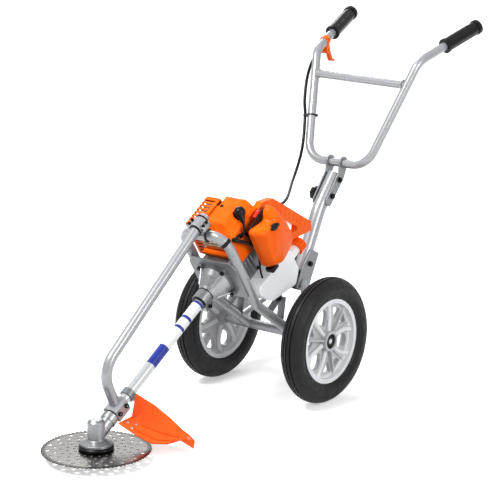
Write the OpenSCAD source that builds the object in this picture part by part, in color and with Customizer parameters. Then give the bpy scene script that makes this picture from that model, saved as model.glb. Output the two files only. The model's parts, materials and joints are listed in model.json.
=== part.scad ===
// Two-wheeled push brush cutter with a small petrol engine, a drive tube and a saw blade.
// Millimetres. Front (the blade) is -Y, the handlebar is +Y, up is +Z, the right wheel is +X.

/* [Wheels] */
// Outside diameter of a tyre
tyre_d = 315; // [290:1:340]
// Width of a tyre
tyre_w = 60; // [52:1:68]
// Diameter of the rim's edge
rim_d = 211; // [190:1:224]
// Width of the rim over its edges
rim_w = 40; // [34:1:48]
// Distance between the middles of the two wheels
track = 333; // [320:1:360]
// Diameter of the axle rod
axle_d = 12; // [10:0.5:14]
// Diameter of the hub's outer boss
hub_d = 50; // [44:1:56]

/* [Drive] */
// Distance of the blade's axis in front of the axle
blade_reach = 651; // [630:1:670]
// Slope of the drive tube above the ground
shaft_tilt = 32.2; // [31:0.1:33.5]
// Length from the gears' meeting point to the engine clamp
drive_len = 452; // [440:1:470]
// Diameter of the drive tube
drive_d = 26; // [25:0.5:28]
// Wall of the drive tube
drive_wall = 2; // [1.5:0.1:3]
// Diameter of the drive shaft
shaft_d = 8; // [7:0.5:9]
// Diameter of the arbor that carries the blade
arbor_d = 12; // [10:0.5:13]
// Diameter of the saw blade over its teeth
blade_d = 255; // [230:1:260]
// Thickness of the saw blade
blade_t = 1.8; // [1.4:0.1:2.6]
// Number of saw teeth
blade_teeth = 80; // [40:1:100]
// Height of the support cup that the head rests on
cup_h = 20; // [16:0.5:24]
// Diameter of the support cup
cup_d = 62; // [54:1:70]

/* [Frame] */
// Diameter of the frame tubes
tube_d = 25; // [22:0.5:27]
// Wall of the frame tubes
tube_wall = 2; // [1.5:0.1:2.5]
// Distance between the two legs of the engine hoop
hoop_w = 134; // [128:1:144]
// Height of the hoop's top bar over the drive tube's axis
hoop_rise = 131; // [126:1:140]
// Drop of the hoop's lower bend under the drive tube's axis
hoop_drop = 92; // [84:1:98]
// Diameter of the rear column
column_d = 36; // [32:1:38]
// Thickness of the steel plates
plate_t = 4; // [3:0.5:5]

/* [Handlebar] */
// Diameter of the handlebar tube
bar_d = 22; // [20:0.5:24]
// Height of the handlebar's lower cross tube
bar_z = 534; // [524:1:544]
// Distance of the handlebar's lower cross tube behind the axle
bar_y = 272; // [264:1:280]
// Half width of the handlebar at its lower bends
bar_low_w = 91; // [80:1:100]
// Height of the handlebar's upper bends
bar_bend_z = 793; // [770:1:820]
// Half width of the handlebar at the ends of the grips
bar_end_w = 199; // [190:1:220]
// Length of a grip
grip_len = 122; // [110:1:130]
// Diameter of a grip
grip_d = 33; // [30:0.5:36]

/* [Engine] */
// Distance of the mounting plate behind the tube clamp
plate_u = 74; // [72:1:80]
// Width of the fuel tank
tank_w = 142; // [130:1:150]
// Width of the orange cylinder cowl on its right
cowl_right = 46; // [42:1:48]
// Width of the cylinder cowl on its left
cowl_left = 36; // [34:1:38]
// Height of the cylinder cowl over the crankshaft
cowl_top = 120; // [112:1:126]
// Outer face of the air filter cover
filter_x = 104; // [98:1:110]
// Wall of the plastic covers
cover_t = 2.5; // [2:0.1:3]

/* [Hidden] */
$fn = 64;
run_fit = 0.05;
seat_gap = 0.1;
side_gap = 0.4;
wheel_r = tyre_d / 2;
axle_z = wheel_r;
tube_r = tube_d / 2;
drive_r = drive_d / 2;
bar_r = bar_d / 2;
shaft_r = shaft_d / 2;
arbor_r = arbor_d / 2;
axle_r = axle_d / 2;
weld = 0.05;

// The gears' cones meet in the apex, on the blade's axis.
gear_module = 1.45;
pinion_teeth = 14;
gear_teeth = 19;
gears_angle = 90 + shaft_tilt;
pinion_cone = atan2(sin(gears_angle), gear_teeth / pinion_teeth + cos(gears_angle));
gear_cone = gears_angle - pinion_cone;
cone_len = gear_module * pinion_teeth / 2 / sin(pinion_cone);
head_r = 20;
apex_z = cup_h + 33;
blade_y = -blade_reach;
eng_y = blade_y + drive_len * cos(shaft_tilt);
eng_z = apex_z + drive_len * sin(shaft_tilt);

function world(u, v) = [eng_y + u * cos(shaft_tilt) - v * sin(shaft_tilt),
                        eng_z + u * sin(shaft_tilt) + v * cos(shaft_tilt)];

// Handlebar: half of its bends, from the lower cross tube to the grip's end.
bar_lean = 0.486;
bar_splay = 0.262;
bar_k_y = bar_y + (bar_bend_z - bar_z) * bar_lean;
bar_k_w = bar_low_w + (bar_bend_z - bar_z) * bar_splay;
grip_slope = [0.197, 0.335];
bar_end_y = bar_k_y + (bar_end_w - bar_k_w) / grip_slope[0];
bar_end_z = bar_bend_z + (bar_end_y - bar_k_y) * grip_slope[1];
bar_low = [bar_low_w, bar_y, bar_z];
bar_bend = [bar_k_w, bar_k_y, bar_bend_z];
bar_end = [bar_end_w, bar_end_y, bar_end_z];
grip_dir = unit(bar_end - bar_bend);
rise_dir = unit(bar_bend - bar_low);
grip_cap = 4;
rear_reach = bar_end_y + grip_cap * grip_dir.y;
frame_y = (blade_reach + blade_d / 2 - rear_reach) / 2;

orange = "#ff6a13";
silver = "#b9bcbf";
steel = "#8f9396";
black = "#1c1c1e";
white = "#eceeec";

// Helpers

function unit(v) = v / norm(v);
function perp(d) = unit(abs(d.x) < 0.9 ? cross(d, [1, 0, 0]) : cross(d, [0, 1, 0]));

// Puts the children's axes on x, y, z with their origin at o.
module place(o, x, y, z) {
  multmatrix([[x.x, y.x, z.x, o.x], [x.y, y.y, z.y, o.y], [x.z, y.z, z.z, o.z], [0, 0, 0, 1]])
    children();
}

// Turns the children's Z axis along d, from the point o.
module along(o, d) {
  z = unit(d);
  x = perp(z);
  place(o, x, cross(z, x), z) children();
}

module rod(a, b, r) {
  along(a, b - a) cylinder(r = r, h = norm(b - a));
}

module ring(ro, ri) {
  difference() {
    circle(r = ro);
    if (ri > 0) circle(r = ri);
  }
}

// Length that a bend at pts[i] takes from each side.
function bend_cut(pts, i, bend) =
  i <= 0 || i >= len(pts) - 1 ? 0 :
  let (a = unit(pts[i] - pts[i - 1]), b = unit(pts[i + 1] - pts[i])) bend * tan(acos(a * b) / 2);

// Bent tube through the corner points, with the same bend radius at each corner.
// A bend is a trace thicker than the straights, which run a short lap into it.
bend_lap = 0.5;
bend_swell = 0.05;

module tube_path(pts, bend, ro, ri = 0) {
  last = len(pts) - 1;
  for (i = [0 : last - 1]) {
    d = unit(pts[i + 1] - pts[i]);
    from = bend_cut(pts, i, bend) - (i > 0 ? bend_lap : 0);
    to = norm(pts[i + 1] - pts[i]) - bend_cut(pts, i + 1, bend) + (i < last - 1 ? bend_lap : 0);
    along(pts[i] + d * from, d) linear_extrude(to - from) ring(ro, ri);
  }
  for (i = [1 : 1 : last - 1]) {
    a = unit(pts[i] - pts[i - 1]);
    b = unit(pts[i + 1] - pts[i]);
    inward = unit(b - a * (a * b));
    centre = pts[i] - a * bend_cut(pts, i, bend) + inward * bend;
    place(centre, -inward, a, cross(-inward, a)) rotate_extrude(angle = acos(a * b))
      translate([bend, 0]) ring(ro + bend_swell, ri > 0 ? ri - bend_swell : 0);
  }
}

// Corner points with each corner rounded to the radius r by a short arc.
function round_poly(pts, r, n = 5) = [
  for (i = [0 : len(pts) - 1])
    let (p = pts[i], a = unit(pts[(i + len(pts) - 1) % len(pts)] - p),
         b = unit(pts[(i + 1) % len(pts)] - p), half = acos(a * b) / 2, t = r / tan(half),
         c = p + unit(a + b) * r / sin(half), s = p + a * t - c, e = p + b * t - c,
         turn = atan2(s.x * e.y - s.y * e.x, s * e))
      for (k = [0 : n]) let (w = turn * k / n)
        c + [s.x * cos(w) - s.y * sin(w), s.x * sin(w) + s.y * cos(w)]];

module rounded(pts, r, n = 5) {
  polygon(round_poly(pts, r, n));
}

// Extrudes a (y, z) outline along X, an (x, z) outline along Y.
module across(x0, x1) {
  translate([x0, 0, 0]) rotate([90, 0, 90]) linear_extrude(x1 - x0) children();
}

module lengthwise(y0, y1) {
  translate([0, y1, 0]) rotate([90, 0, 0]) linear_extrude(y1 - y0) children();
}

module barrel_y(p, len, r) {
  translate(p) rotate([-90, 0, 0]) cylinder(r = r, h = len);
}

module barrel_x(p, len, r) {
  translate(p) rotate([0, 90, 0]) cylinder(r = r, h = len);
}

module mirrored() {
  children();
  mirror([1, 0, 0]) children();
}

// Engine frame: X across, Y (u) up along the drive shaft, Z (v) square to it.
module on_engine() {
  translate([0, eng_y, eng_z]) rotate([shaft_tilt, 0, 0]) children();
}

module machine() {
  translate([0, frame_y, 0]) children();
}

// Wheels

hub_out = 21;
hub_in = 28;
hub_recess_r = 19;
hub_recess = 14;
boss_r = 15;
rim_edge_t = 4;
rim_seat = rim_d / 2 - 5.5;
rim_in = rim_seat - 5;
spoke_t = 10;
rib_w = 13;
rib_h = 3;
fin_w = 5;
groove = 2.5;

module wheel_place(side) {
  translate([side * track / 2, 0, axle_z]) rotate([0, side * 90, 0]) children();
}

module rim_barrel() {
  h = rim_w / 2;
  rotate_extrude()
    polygon([[rim_in, -h], [rim_d / 2, -h], [rim_d / 2, rim_edge_t - h], [rim_seat, rim_edge_t - h],
      [rim_seat, h - rim_edge_t], [rim_d / 2, h - rim_edge_t], [rim_d / 2, h], [rim_in, h]]);
}

// One drop-shaped window and a pair of three-cornered ones in each third of the wheel.
module rim_windows() {
  mid = (hub_d / 2 + rim_in) / 2;
  for (k = [0 : 2]) {
    rotate(120 * k - 60) {
      translate([mid + 5, 0]) circle(r = 19);
      translate([mid - 13, 0]) circle(r = 8);
      polygon([[mid - 15, 7.7], [mid + 1, 18.5], [mid + 1, -18.5], [mid - 15, -7.7]]);
    }
    for (s = [-1, 1])
      rotate(120 * k)
        rounded([[mid - 8, 6 * s], [rim_in - 6, 6 * s], [mid + 15, 38 * s]], 4);
  }
}

// Broad arms beside the drop-shaped windows.
module rim_ribs() {
  for (k = [0 : 2], a = [-33, 33])
    rotate(120 * k + a) translate([hub_d / 2 - 3, -rib_w / 2]) square([rim_in - hub_d / 2 + 4, rib_w]);
}

// Tall thin fins, one down the middle of each pair of three-cornered windows.
module rim_fins() {
  for (k = [0 : 2])
    rotate(120 * k) translate([0, fin_w / 2, 0]) rotate([90, 0, 0]) linear_extrude(fin_w)
      polygon([[hub_d / 2 - 3, 0], [hub_d / 2 - 3, hub_out - 4], [rim_in + 1, rim_w / 2 - 9], [rim_in + 1, 0]]);
}

module rim(side) {
  color(white) wheel_place(side) rotate(side * 16)
    difference() {
      union() {
        rim_barrel();
        translate([0, 0, -spoke_t / 2]) linear_extrude(spoke_t)
          difference() {
            circle(r = rim_in + 1);
            rim_windows();
          }
        linear_extrude(spoke_t / 2 + rib_h) rim_ribs();
        rim_fins();
        cylinder(r = hub_d / 2, h = hub_out);
        translate([0, 0, -hub_in]) cylinder(r = boss_r, h = hub_in);
      }
      translate([0, 0, -hub_in - 1]) cylinder(r = axle_r + run_fit, h = hub_in + hub_out + 2);
      translate([0, 0, hub_out - hub_recess]) cylinder(r = hub_recess_r, h = hub_recess + 1);
    }
}

module tyre(side) {
  color(black) wheel_place(side) rotate_extrude($fn = 96)
    difference() {
      union() {
        intersection() {
          translate([wheel_r - tyre_w / 2, 0]) circle(r = tyre_w / 2);
          translate([rim_d / 2 + seat_gap, -tyre_w]) square([tyre_w, 2 * tyre_w]);
        }
        translate([rim_seat + seat_gap, rim_edge_t + seat_gap - rim_w / 2])
          square([rim_d / 2 - rim_seat + 7, rim_w - 2 * rim_edge_t - 2 * seat_gap]);
      }
      for (z = [-0.32, 0, 0.32])
        translate([wheel_r - groove - abs(z) * 5, z * tyre_w / 2 - 1.5]) square([9, 3]);
    }
}

module left_rim() { rim(-1); }
module right_rim() { rim(1); }
module left_tyre() { tyre(-1); }
module right_tyre() { tyre(1); }

axle_half = track / 2 - hub_in - side_gap;

module axle_tube() {
  color(silver) difference() {
    barrel_x([-axle_half, 0, axle_z], 2 * axle_half, tube_r);
    barrel_x([-axle_half - 1, 0, axle_z], 2 * axle_half + 2, axle_r + weld);
  }
}

axle_end = track / 2 + hub_out - 3;

module axle_rod() {
  color(steel) barrel_x([-axle_end, 0, axle_z], 2 * axle_end, axle_r);
}

// Frame

hoop_u = plate_u + tube_r + weld;
hoop_x = hoop_w / 2;
hoop_top = world(hoop_u, hoop_rise);
hoop_knee = world(hoop_u, -hoop_drop);
hoop_bend = 38;

module axle_cut() {
  barrel_x([-track, 0, axle_z], 2 * track, tube_r + weld);
}

module engine_hoop() {
  half = [[hoop_x, 0, axle_z], concat(hoop_x, hoop_knee), concat(hoop_x, hoop_top)];
  other = [for (i = [2 : -1 : 0]) [-half[i].x, half[i].y, half[i].z]];
  color(silver) difference() {
    tube_path(concat(half, other), hoop_bend, tube_r, tube_r - tube_wall);
    axle_cut();
  }
}

plate_w = hoop_w + 10;
clutch_hole_r = 32;
clutch_bolts = [[-36, -36], [36, -36], [36, 36], [-36, 36]];
m6_r = 3;

module engine_plate() {
  w = plate_w / 2;
  color(silver) on_engine() lengthwise(plate_u - plate_t, plate_u)
    difference() {
      rounded([[-w, -53], [w, -53], [w, 40], [w - 12, 60], [12 - w, 60], [-w, 40]], 6);
      circle(r = clutch_hole_r);
      for (p = clutch_bolts) translate(p) circle(r = m6_r + weld);
    }
}

// The fuel tank's outline in the engine frame, (u, v).
tank_top = -64;
tank_front = [138, -130];
tank_low = [228, -160];
tank_back = 258;
tank_poly = [[95, tank_top], tank_front, tank_low, [tank_back, -134], [tank_back, tank_top]];
tank_x = tank_w / 2;

// A strap on each lower leg of the hoop carries the tank on a rubber pad.
pad_h = 10;
pad_r = 9;
strap_w = 20;
tank_dir = unit(world(tank_low.x, tank_low.y) - world(tank_front.x, tank_front.y));
tank_down = [tank_dir.y, -tank_dir.x];
pad_top = world(tank_front.x, tank_front.y) + tank_dir * 30;
strap_top = pad_top + tank_down * (pad_h + plate_t / 2 + 2 * seat_gap);
leg_dir = unit([0, axle_z] - hoop_knee);
strap_span = 15;

function bar_poly(a, b, w) = let (d = unit(b - a), n = [-d.y, d.x] * w / 2) [a + n, b + n, b - n, a - n];

module strap_2d() {
  left = strap_top - tank_dir * strap_span;
  right = strap_top + tank_dir * strap_span;
  foot_a = hoop_knee + leg_dir * 62;
  foot_b = hoop_knee + leg_dir * 122;
  for (s = [[foot_a, left], [left, right], [right, foot_b]]) polygon(bar_poly(s[0], s[1], plate_t));
  for (p = [left, right]) translate(p) circle(r = plate_t / 2);
}

module hoop_legs(r) {
  mirrored() rod(concat(hoop_x, hoop_knee), [hoop_x, 0, axle_z], r);
}

module tank_brackets() {
  color(steel) difference() {
    mirrored() across(hoop_x - strap_w / 2 - 4, hoop_x + strap_w / 2 - 4) strap_2d();
    hoop_legs(tube_r + weld);
  }
}

module tank_pads() {
  d = [0, tank_down.x, tank_down.y];
  color(black) mirrored()
    along(concat(hoop_x - 4, pad_top) + d * seat_gap, d) cylinder(r = pad_r, h = pad_h);
}

// Rear column, from its foot behind the axle to the handlebar's lower cross tube.
column_r = column_d / 2;
column_foot_p = [120, 280 + axle_z - 157.5];
column_knee = [198, 430];
column_top = [bar_y - 10, bar_z - 29];
column_low_dir = unit(column_knee - column_foot_p);
column_dir = unit(column_top - column_knee);
bolt_r = 4;
bar_bolt = column_top - column_dir * 14;
knob_bolt = column_top - column_dir * 62;
foot_bolt = column_foot_p + column_low_dir * 22;

module rear_column() {
  pts = [for (p = [column_foot_p, column_knee, column_top]) concat(0, p)];
  color(silver) difference() {
    tube_path(pts, 160, column_r, column_r - tube_wall);
    for (p = [bar_bolt, knob_bolt, foot_bolt])
      barrel_x(concat(-column_d, p), 2 * column_d, bolt_r + run_fit);
  }
}

foot_x = column_r + seat_gap;
foot_w = column_d + 8;
foot_len = 104;
foot_below = 46;

// Channel of folded plate round the column's lower end.
module column_foot() {
  n = [column_low_dir.y, -column_low_dir.x];
  o = column_foot_p - column_low_dir * foot_below;
  side = [o - n * foot_w / 2, o + n * foot_w / 2, o + n * foot_w / 2 + column_low_dir * foot_len,
          o - n * foot_w / 4 + column_low_dir * foot_len, o - n * foot_w / 2 + column_low_dir * 60];
  web = [o + n * foot_w / 2, o + n * (foot_w / 2 + plate_t),
         o + n * (foot_w / 2 + plate_t) + column_low_dir * foot_len, o + n * foot_w / 2 + column_low_dir * foot_len];
  color(steel) difference() {
    union() {
      mirrored() across(foot_x, foot_x + plate_t) polygon(side);
      across(-foot_x - plate_t, foot_x + plate_t) polygon(web);
    }
    barrel_x(concat(-column_d, foot_bolt), 2 * column_d, bolt_r + run_fit);
  }
}

strut_r = 9;
strut_x = 118;
strut_foot = column_foot_p - column_low_dir * 24;

module rear_struts() {
  color(silver) difference() {
    mirrored() along(concat(foot_x, strut_foot), [strut_x, 0, axle_z] - concat(foot_x, strut_foot))
      linear_extrude(norm([strut_x, 0, axle_z] - concat(foot_x, strut_foot))) ring(strut_r, strut_r - tube_wall);
    axle_cut();
    across(-foot_x - plate_t - weld, foot_x + plate_t + weld) translate([0, 150]) square([260, 260]);
  }
}

// Plates that clamp the handlebar's lower cross tube to the column.
bar_ring_r = bar_r + 7;

module bar_plates() {
  n = [column_dir.y, -column_dir.x];
  low = knob_bolt - column_dir * 16;
  color(steel) difference() {
    mirrored() across(foot_x, foot_x + plate_t) {
      translate([bar_y, bar_z]) circle(r = bar_ring_r);
      polygon([low - n * 13, low + n * 13, column_top + n * 15, [bar_y + bar_ring_r * 0.9, bar_z - 8],
               [bar_y - bar_ring_r * 0.95, bar_z + 6], column_top - n * 15]);
      translate(low) circle(r = 13);
    }
    barrel_x([-column_d, bar_y, bar_z], 2 * column_d, bar_r + run_fit);
    for (p = [bar_bolt, knob_bolt]) barrel_x(concat(-column_d, p), 2 * column_d, bolt_r + run_fit);
  }
}

// Bolts through the column, and the washers and nuts on the axle.
head_h = 5;
bolt_grip = foot_x + plate_t;

module cross_bolt(p) {
  barrel_x(concat(-bolt_grip - 8, p), 2 * bolt_grip + 16, bolt_r);
  for (s = [-1, 1])
    translate(concat(s * (bolt_grip + weld) + (s < 0 ? -head_h : 0), p)) rotate([0, 90, 0])
      cylinder(r = 7.5, h = head_h, $fn = 6);
}

module axle_nut() {
  seat = track / 2 + hub_out - hub_recess + side_gap;
  difference() {
    union() {
      barrel_x([seat, 0, axle_z], 2, 13);
      translate([seat + 2, 0, axle_z]) rotate([0, 90, 0]) cylinder(r = 10, h = 8, $fn = 6);
    }
    barrel_x([seat - 1, 0, axle_z], 12, axle_r + weld);
  }
}

module frame_fasteners() {
  color(steel) {
    cross_bolt(bar_bolt);
    cross_bolt(foot_bolt);
    translate(concat(bolt_grip + weld, knob_bolt)) rotate([0, 90, 0])
      difference() {
        cylinder(r = 7.5, h = 6, $fn = 6);
        translate([0, 0, -1]) cylinder(r = bolt_r + run_fit, h = 8);
      }
    mirrored() axle_nut();
    on_engine() for (p = clutch_bolts) clutch_bolt(p);
  }
}

knob_r = 19;

// Star knob: its stud runs through the column to a nut on the right.
module star_knob() {
  color(black) translate(concat(-bolt_grip - 2 * seat_gap, knob_bolt)) rotate([0, -90, 0]) {
    linear_extrude(13) difference() {
      circle(r = knob_r);
      for (k = [0 : 4]) rotate(72 * k) translate([knob_r + 3, 0]) circle(r = 7);
    }
    cylinder(r = 10, h = 20);
    translate([0, 0, -2 * bolt_grip - 8]) cylinder(r = bolt_r, h = 2 * bolt_grip + 9);
  }
}

// Front guard tube, from over the hoop to the clamp on the drive tube

clamp_rise = 29.5;
guard_slope = 6.3;
guard_over = 28;
guard_knee_u = 99 - drive_len;
clamp_u = 86 - drive_len;
clamp_len = 44;
clamp_top = drive_r + 8;
clamp_wall = 5;

function guard_v(u) = hoop_rise + clamp_rise - (hoop_u - u) * tan(guard_slope);
function on_tube(u, v) = [0, u, v];

module guard_path(r, ri = 0) {
  pts = [on_tube(hoop_u + guard_over, guard_v(hoop_u + guard_over)),
         on_tube(guard_knee_u, guard_v(guard_knee_u)), on_tube(clamp_u, clamp_top - 6)];
  on_engine() tube_path(pts, 60, r, ri);
}

module guard_tube() {
  color(silver) difference() {
    guard_path(tube_r, tube_r - tube_wall);
    on_engine() translate([-50, clamp_u - 60, clamp_top + weld - 80]) cube([100, 120, 80]);
  }
}

module upper_clamp() {
  r = tube_r + 3.5;
  high = guard_v(hoop_u);
  color(silver) difference() {
    on_engine() {
      barrel_x([-15, hoop_u, hoop_rise], 30, r);
      barrel_y([0, hoop_u - 15, high], 30, r);
      translate([-11, hoop_u - 11, hoop_rise + 6]) cube([22, 22, high - hoop_rise - 12]);
    }
    on_engine() barrel_x([-40, hoop_u, hoop_rise], 80, tube_r + weld);
    guard_path(tube_r + weld);
  }
}

module lower_clamp() {
  color(silver) on_engine() difference() {
    union() {
      lengthwise(clamp_u - clamp_len / 2, clamp_u + clamp_len / 2)
        rounded([[-drive_r - 6, -drive_r - 4], [drive_r + 6, -drive_r - 4],
                 [drive_r + 6, clamp_top - 6], [drive_r, clamp_top], [-drive_r, clamp_top], [-drive_r - 6, clamp_top - 6]], 3);
      for (s = [-1, 1], t = [-1, 1])
        barrel_x([s * (drive_r + 8) - 2, clamp_u + t * 13, 2], 4, 4.5);
    }
    barrel_y([0, clamp_u - clamp_len, 0], 2 * clamp_len, drive_r + weld);
  }
}

// Drive tube and what turns in it

socket_end = 62;
tube_low = 44 - drive_len;
tube_high = 10;

module drive_tube() {
  color("#d9dcde") on_engine() difference() {
    barrel_y([0, tube_low, 0], tube_high - tube_low, drive_r);
    barrel_y([0, tube_low - 1, 0], tube_high - tube_low + 2, drive_r - drive_wall);
  }
}

module shaft_bushes() {
  color(black) on_engine() for (u = [-0.7, -0.42, -0.14])
    difference() {
      barrel_y([0, u * drive_len - 9, 0], 18, drive_r - drive_wall - weld);
      barrel_y([0, u * drive_len - 10, 0], 20, shaft_r + run_fit);
    }
}

drum_r = 33;
drum_u = plate_u - 28;
drum_wall = 3;

module drive_shaft() {
  u0 = 12 - drive_len;
  color(steel) on_engine() barrel_y([0, u0, 0], drum_u - u0 + drum_wall, shaft_r);
}

module clutch_drum() {
  color(steel) on_engine() difference() {
    union() {
      barrel_y([0, drum_u, 0], 20, drum_r);
      barrel_y([0, drum_u - 8, 0], 9, shaft_r + 5);
    }
    barrel_y([0, drum_u + drum_wall, 0], 20, drum_r - drum_wall);
    barrel_y([0, drum_u - 9, 0], 20, shaft_r + weld / 2);
  }
}

housing_front = plate_u - plate_t;
housing_lip = 46;

module clutch_profile() {
  u = housing_front;
  polygon([[drive_r + weld, -14], [drive_r + 7, -14], [drive_r + 7, 16], [drive_r + 10, 22],
    [drum_r + 5, u - 25], [drum_r + 11, u - 12], [drum_r + 11, u - 6], [housing_lip, u - 6], [housing_lip, u],
    [drum_r + 7, u], [drum_r + 7, u - 10], [drum_r + 1.5, u - 26], [20, 22], [shaft_r + 6, 20],
    [shaft_r + 6, tube_high + 1], [drive_r + weld, tube_high + 1]]);
}

boss_h = 10;

module clutch_housing() {
  color(silver) on_engine() difference() {
    union() {
      rotate([-90, 0, 0]) rotate_extrude() clutch_profile();
      for (p = clutch_bolts)
        difference() {
          barrel_y([p.x, housing_front - boss_h, p.y], boss_h, 7);
          barrel_y([0, housing_front - boss_h - 1, 0], boss_h + 2, drum_r + 7);
        }
      difference() {
        lengthwise(-14, 14) rounded([[-12, -drive_r - 18], [12, -drive_r - 18], [12, -drive_r], [-12, -drive_r]], 3);
        barrel_y([0, -20, 0], 50, drive_r + weld);
      }
    }
    translate([-1.5, -20, -drive_r - 20]) cube([3, 36, 20]);
    for (p = clutch_bolts)
      barrel_y([p.x, housing_front - boss_h - 1, p.y], boss_h + 2, m6_r + weld);
  }
}

module clutch_bolt(p) {
  top = housing_front - boss_h - weld;
  barrel_y([p.x, top - 6, p.y], 6, 5);
  barrel_y([p.x, top - 1, p.y], boss_h + plate_t + 16, m6_r);
}

crank_r = 8;
crank_end = plate_u + 40;

// Crankshaft nose with the clutch's shoes, inside the drum.
module crankshaft() {
  r = drum_r - drum_wall - 1.5;
  u0 = drum_u + drum_wall + 1.5;
  color(steel) on_engine() {
    barrel_y([0, u0, 0], crank_end - u0, crank_r);
    lengthwise(u0 + 1, u0 + 13) difference() {
      circle(r = r);
      for (a = [0, 180]) rotate(a) translate([crank_r + 3, -1.5]) square([r, 3]);
      for (s = [-1, 1]) translate([s * 19, s * 9]) circle(r = 4);
    }
  }
}

// Gearbox

add_angle = atan2(0.8 * gear_module, cone_len);
ded_angle = atan2(1.15 * gear_module, cone_len);
face_w = 5;

function ray(cone, turn) = [sin(cone) * cos(turn), sin(cone) * sin(turn), cos(cone)];

// One straight bevel tooth, standing on a cone whose apex is the origin and whose axis is +Z.
module bevel_tooth(cone, pitch) {
  root = cone - ded_angle - 2;
  tip = cone + add_angle;
  ring_pts = [[root, -0.27], [tip, -0.1], [tip, 0.1], [root, 0.27]];
  pts = [for (r = [cone_len - face_w, cone_len], q = ring_pts) r * ray(q[0], q[1] * pitch)];
  polyhedron(pts, [[0, 1, 2, 3], [7, 6, 5, 4], [4, 5, 1, 0], [5, 6, 2, 1], [6, 7, 3, 2], [7, 4, 0, 3]]);
}

// Gear blank under the teeth, with a hub behind it.
module bevel_blank(cone, hub_r, hub_end) {
  root = cone - ded_angle;
  a = (cone_len - face_w) * [sin(root), cos(root)];
  b = cone_len * [sin(root), cos(root)];
  back = b.y + 3;
  rotate_extrude() polygon([[0, a.y], a, b, [b.x - 1, back], [hub_r, back], [hub_r, hub_end], [0, hub_end]]);
}

module bevel_wheel(cone, teeth, hub_r, hub_end, bore_r, phase) {
  difference() {
    union() {
      bevel_blank(cone, hub_r, hub_end);
      for (k = [0 : teeth - 1]) rotate(360 / teeth * (k + phase)) bevel_tooth(cone, 360 / teeth);
    }
    translate([0, 0, -5]) cylinder(r = bore_r, h = hub_end + 10);
  }
}

pinion_hub_r = shaft_r + 3.5;
pinion_hub = 34;
gear_hub_r = arbor_r + 4;
gear_hub = apex_z - cup_h - 20;

// Puts +Z on the gear's axis, with +X towards the place where the teeth mesh.
module at_apex(up, tilt) {
  translate([0, blade_y, apex_z]) rotate([tilt, 0, 0]) rotate([0, 0, up]) children();
}

module bevel_pinion() {
  color(steel) at_apex(90, shaft_tilt - 90)
    bevel_wheel(pinion_cone, pinion_teeth, pinion_hub_r, pinion_hub, shaft_r + weld / 2, 0);
}

module bevel_gear() {
  color(steel) at_apex(-90, 180)
    bevel_wheel(gear_cone, gear_teeth, gear_hub_r, gear_hub, arbor_r + weld / 2, 0.5);
}

arbor_low = 3;

module blade_arbor() {
  color(steel) translate([0, blade_y, arbor_low]) cylinder(r = arbor_r, h = apex_z + 1 - arbor_low);
}

bearing_h = 7;
bearing_low = cup_h + blade_t + 10.2;
bearing_r = 14;
pinion_bearing = 23;
neck_r = 17.5;
head_top = apex_z + 40;
head_flange_r = 38;
gear_room_r = cone_len + 2.6;

module head_bearings() {
  color("#c9ccd0") {
    translate([0, blade_y, bearing_low + weld]) difference() {
      cylinder(r = bearing_r, h = bearing_h);
      translate([0, 0, -1]) cylinder(r = arbor_r + run_fit, h = bearing_h + 2);
    }
    on_engine() difference() {
      barrel_y([0, pinion_bearing - drive_len + weld, 0], 9, bearing_r);
      barrel_y([0, pinion_bearing - drive_len - 1, 0], 12, pinion_hub_r + run_fit);
    }
  }
}

module head_outside() {
  translate([0, blade_y, bearing_low]) {
    cylinder(r = head_flange_r, h = 6);
    translate([0, 0, 6]) cylinder(r1 = head_flange_r - 1, r2 = head_r, h = 8);
    cylinder(r = head_r, h = head_top - bearing_low - 6);
  }
  translate([0, blade_y, head_top - 6]) cylinder(r1 = head_r, r2 = head_r - 6, h = 6);
  on_engine() {
    barrel_y([0, -drive_len, 0], socket_end, neck_r);
    barrel_y([0, socket_end - 18 - drive_len, 0], 18, neck_r + 2);
  }
}

module gearbox_housing() {
  color(silver) difference() {
    head_outside();
    translate([0, blade_y, bearing_low - 1]) cylinder(r = bearing_r + weld, h = bearing_h + 2);
    translate([0, blade_y, bearing_low + bearing_h]) cylinder(r = gear_room_r, h = apex_z + 14 - bearing_low - bearing_h);
    on_engine() {
      barrel_y([0, -drive_len, 0], pinion_bearing, bearing_r + 0.5);
      barrel_y([0, pinion_bearing - drive_len - 1, 0], 10.2, bearing_r + weld);
      barrel_y([0, -drive_len, 0], socket_end, shaft_r + 5);
      barrel_y([0, tube_low - weld, 0], socket_end, drive_r + weld);
    }
  }
}

// Blade and its clamping pieces

adapter_r = 41;
nut_room_r = 14;

module turned(z) {
  translate([0, blade_y, z]) rotate_extrude() children();
}

module blade_adapter() {
  bore = arbor_r + weld / 2;
  color(silver) turned(cup_h + blade_t + weld)
    polygon([[bore, 0], [adapter_r - 3, 0], [adapter_r, 3], [adapter_r, 7], [adapter_r - 3, 9.6],
             [adapter_r - 8, 9.6], [adapter_r - 10, 7], [bearing_r, 7], [bearing_r - 2, 9.6], [bore, 9.6]]);
}

tooth_depth = 4.5;

// Saw tooth outline: a steep front and a sloping back on each tooth.
module saw_outline() {
  r = blade_d / 2;
  step = 360 / blade_teeth;
  polygon([for (k = [0 : blade_teeth - 1], q = [[0, r], [0.42, r - 1.5], [0.52, r - tooth_depth], [0.8, r - tooth_depth]])
    q[1] * [cos(step * (k + q[0])), sin(step * (k + q[0]))]]);
}

module saw_blade() {
  inner = adapter_r + 9;
  outer = blade_d / 2 - tooth_depth - 12;
  color(steel) translate([0, blade_y, cup_h]) linear_extrude(blade_t) difference() {
    saw_outline();
    circle(r = arbor_r + weld / 2);
    for (n = [0 : 4], k = [0 : 17])
      rotate(20 * (k + n * 0.55)) translate([inner + (outer - inner) * n / 4, 0]) circle(r = 3 + n * 0.55, $fn = 24);
  }
}

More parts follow.
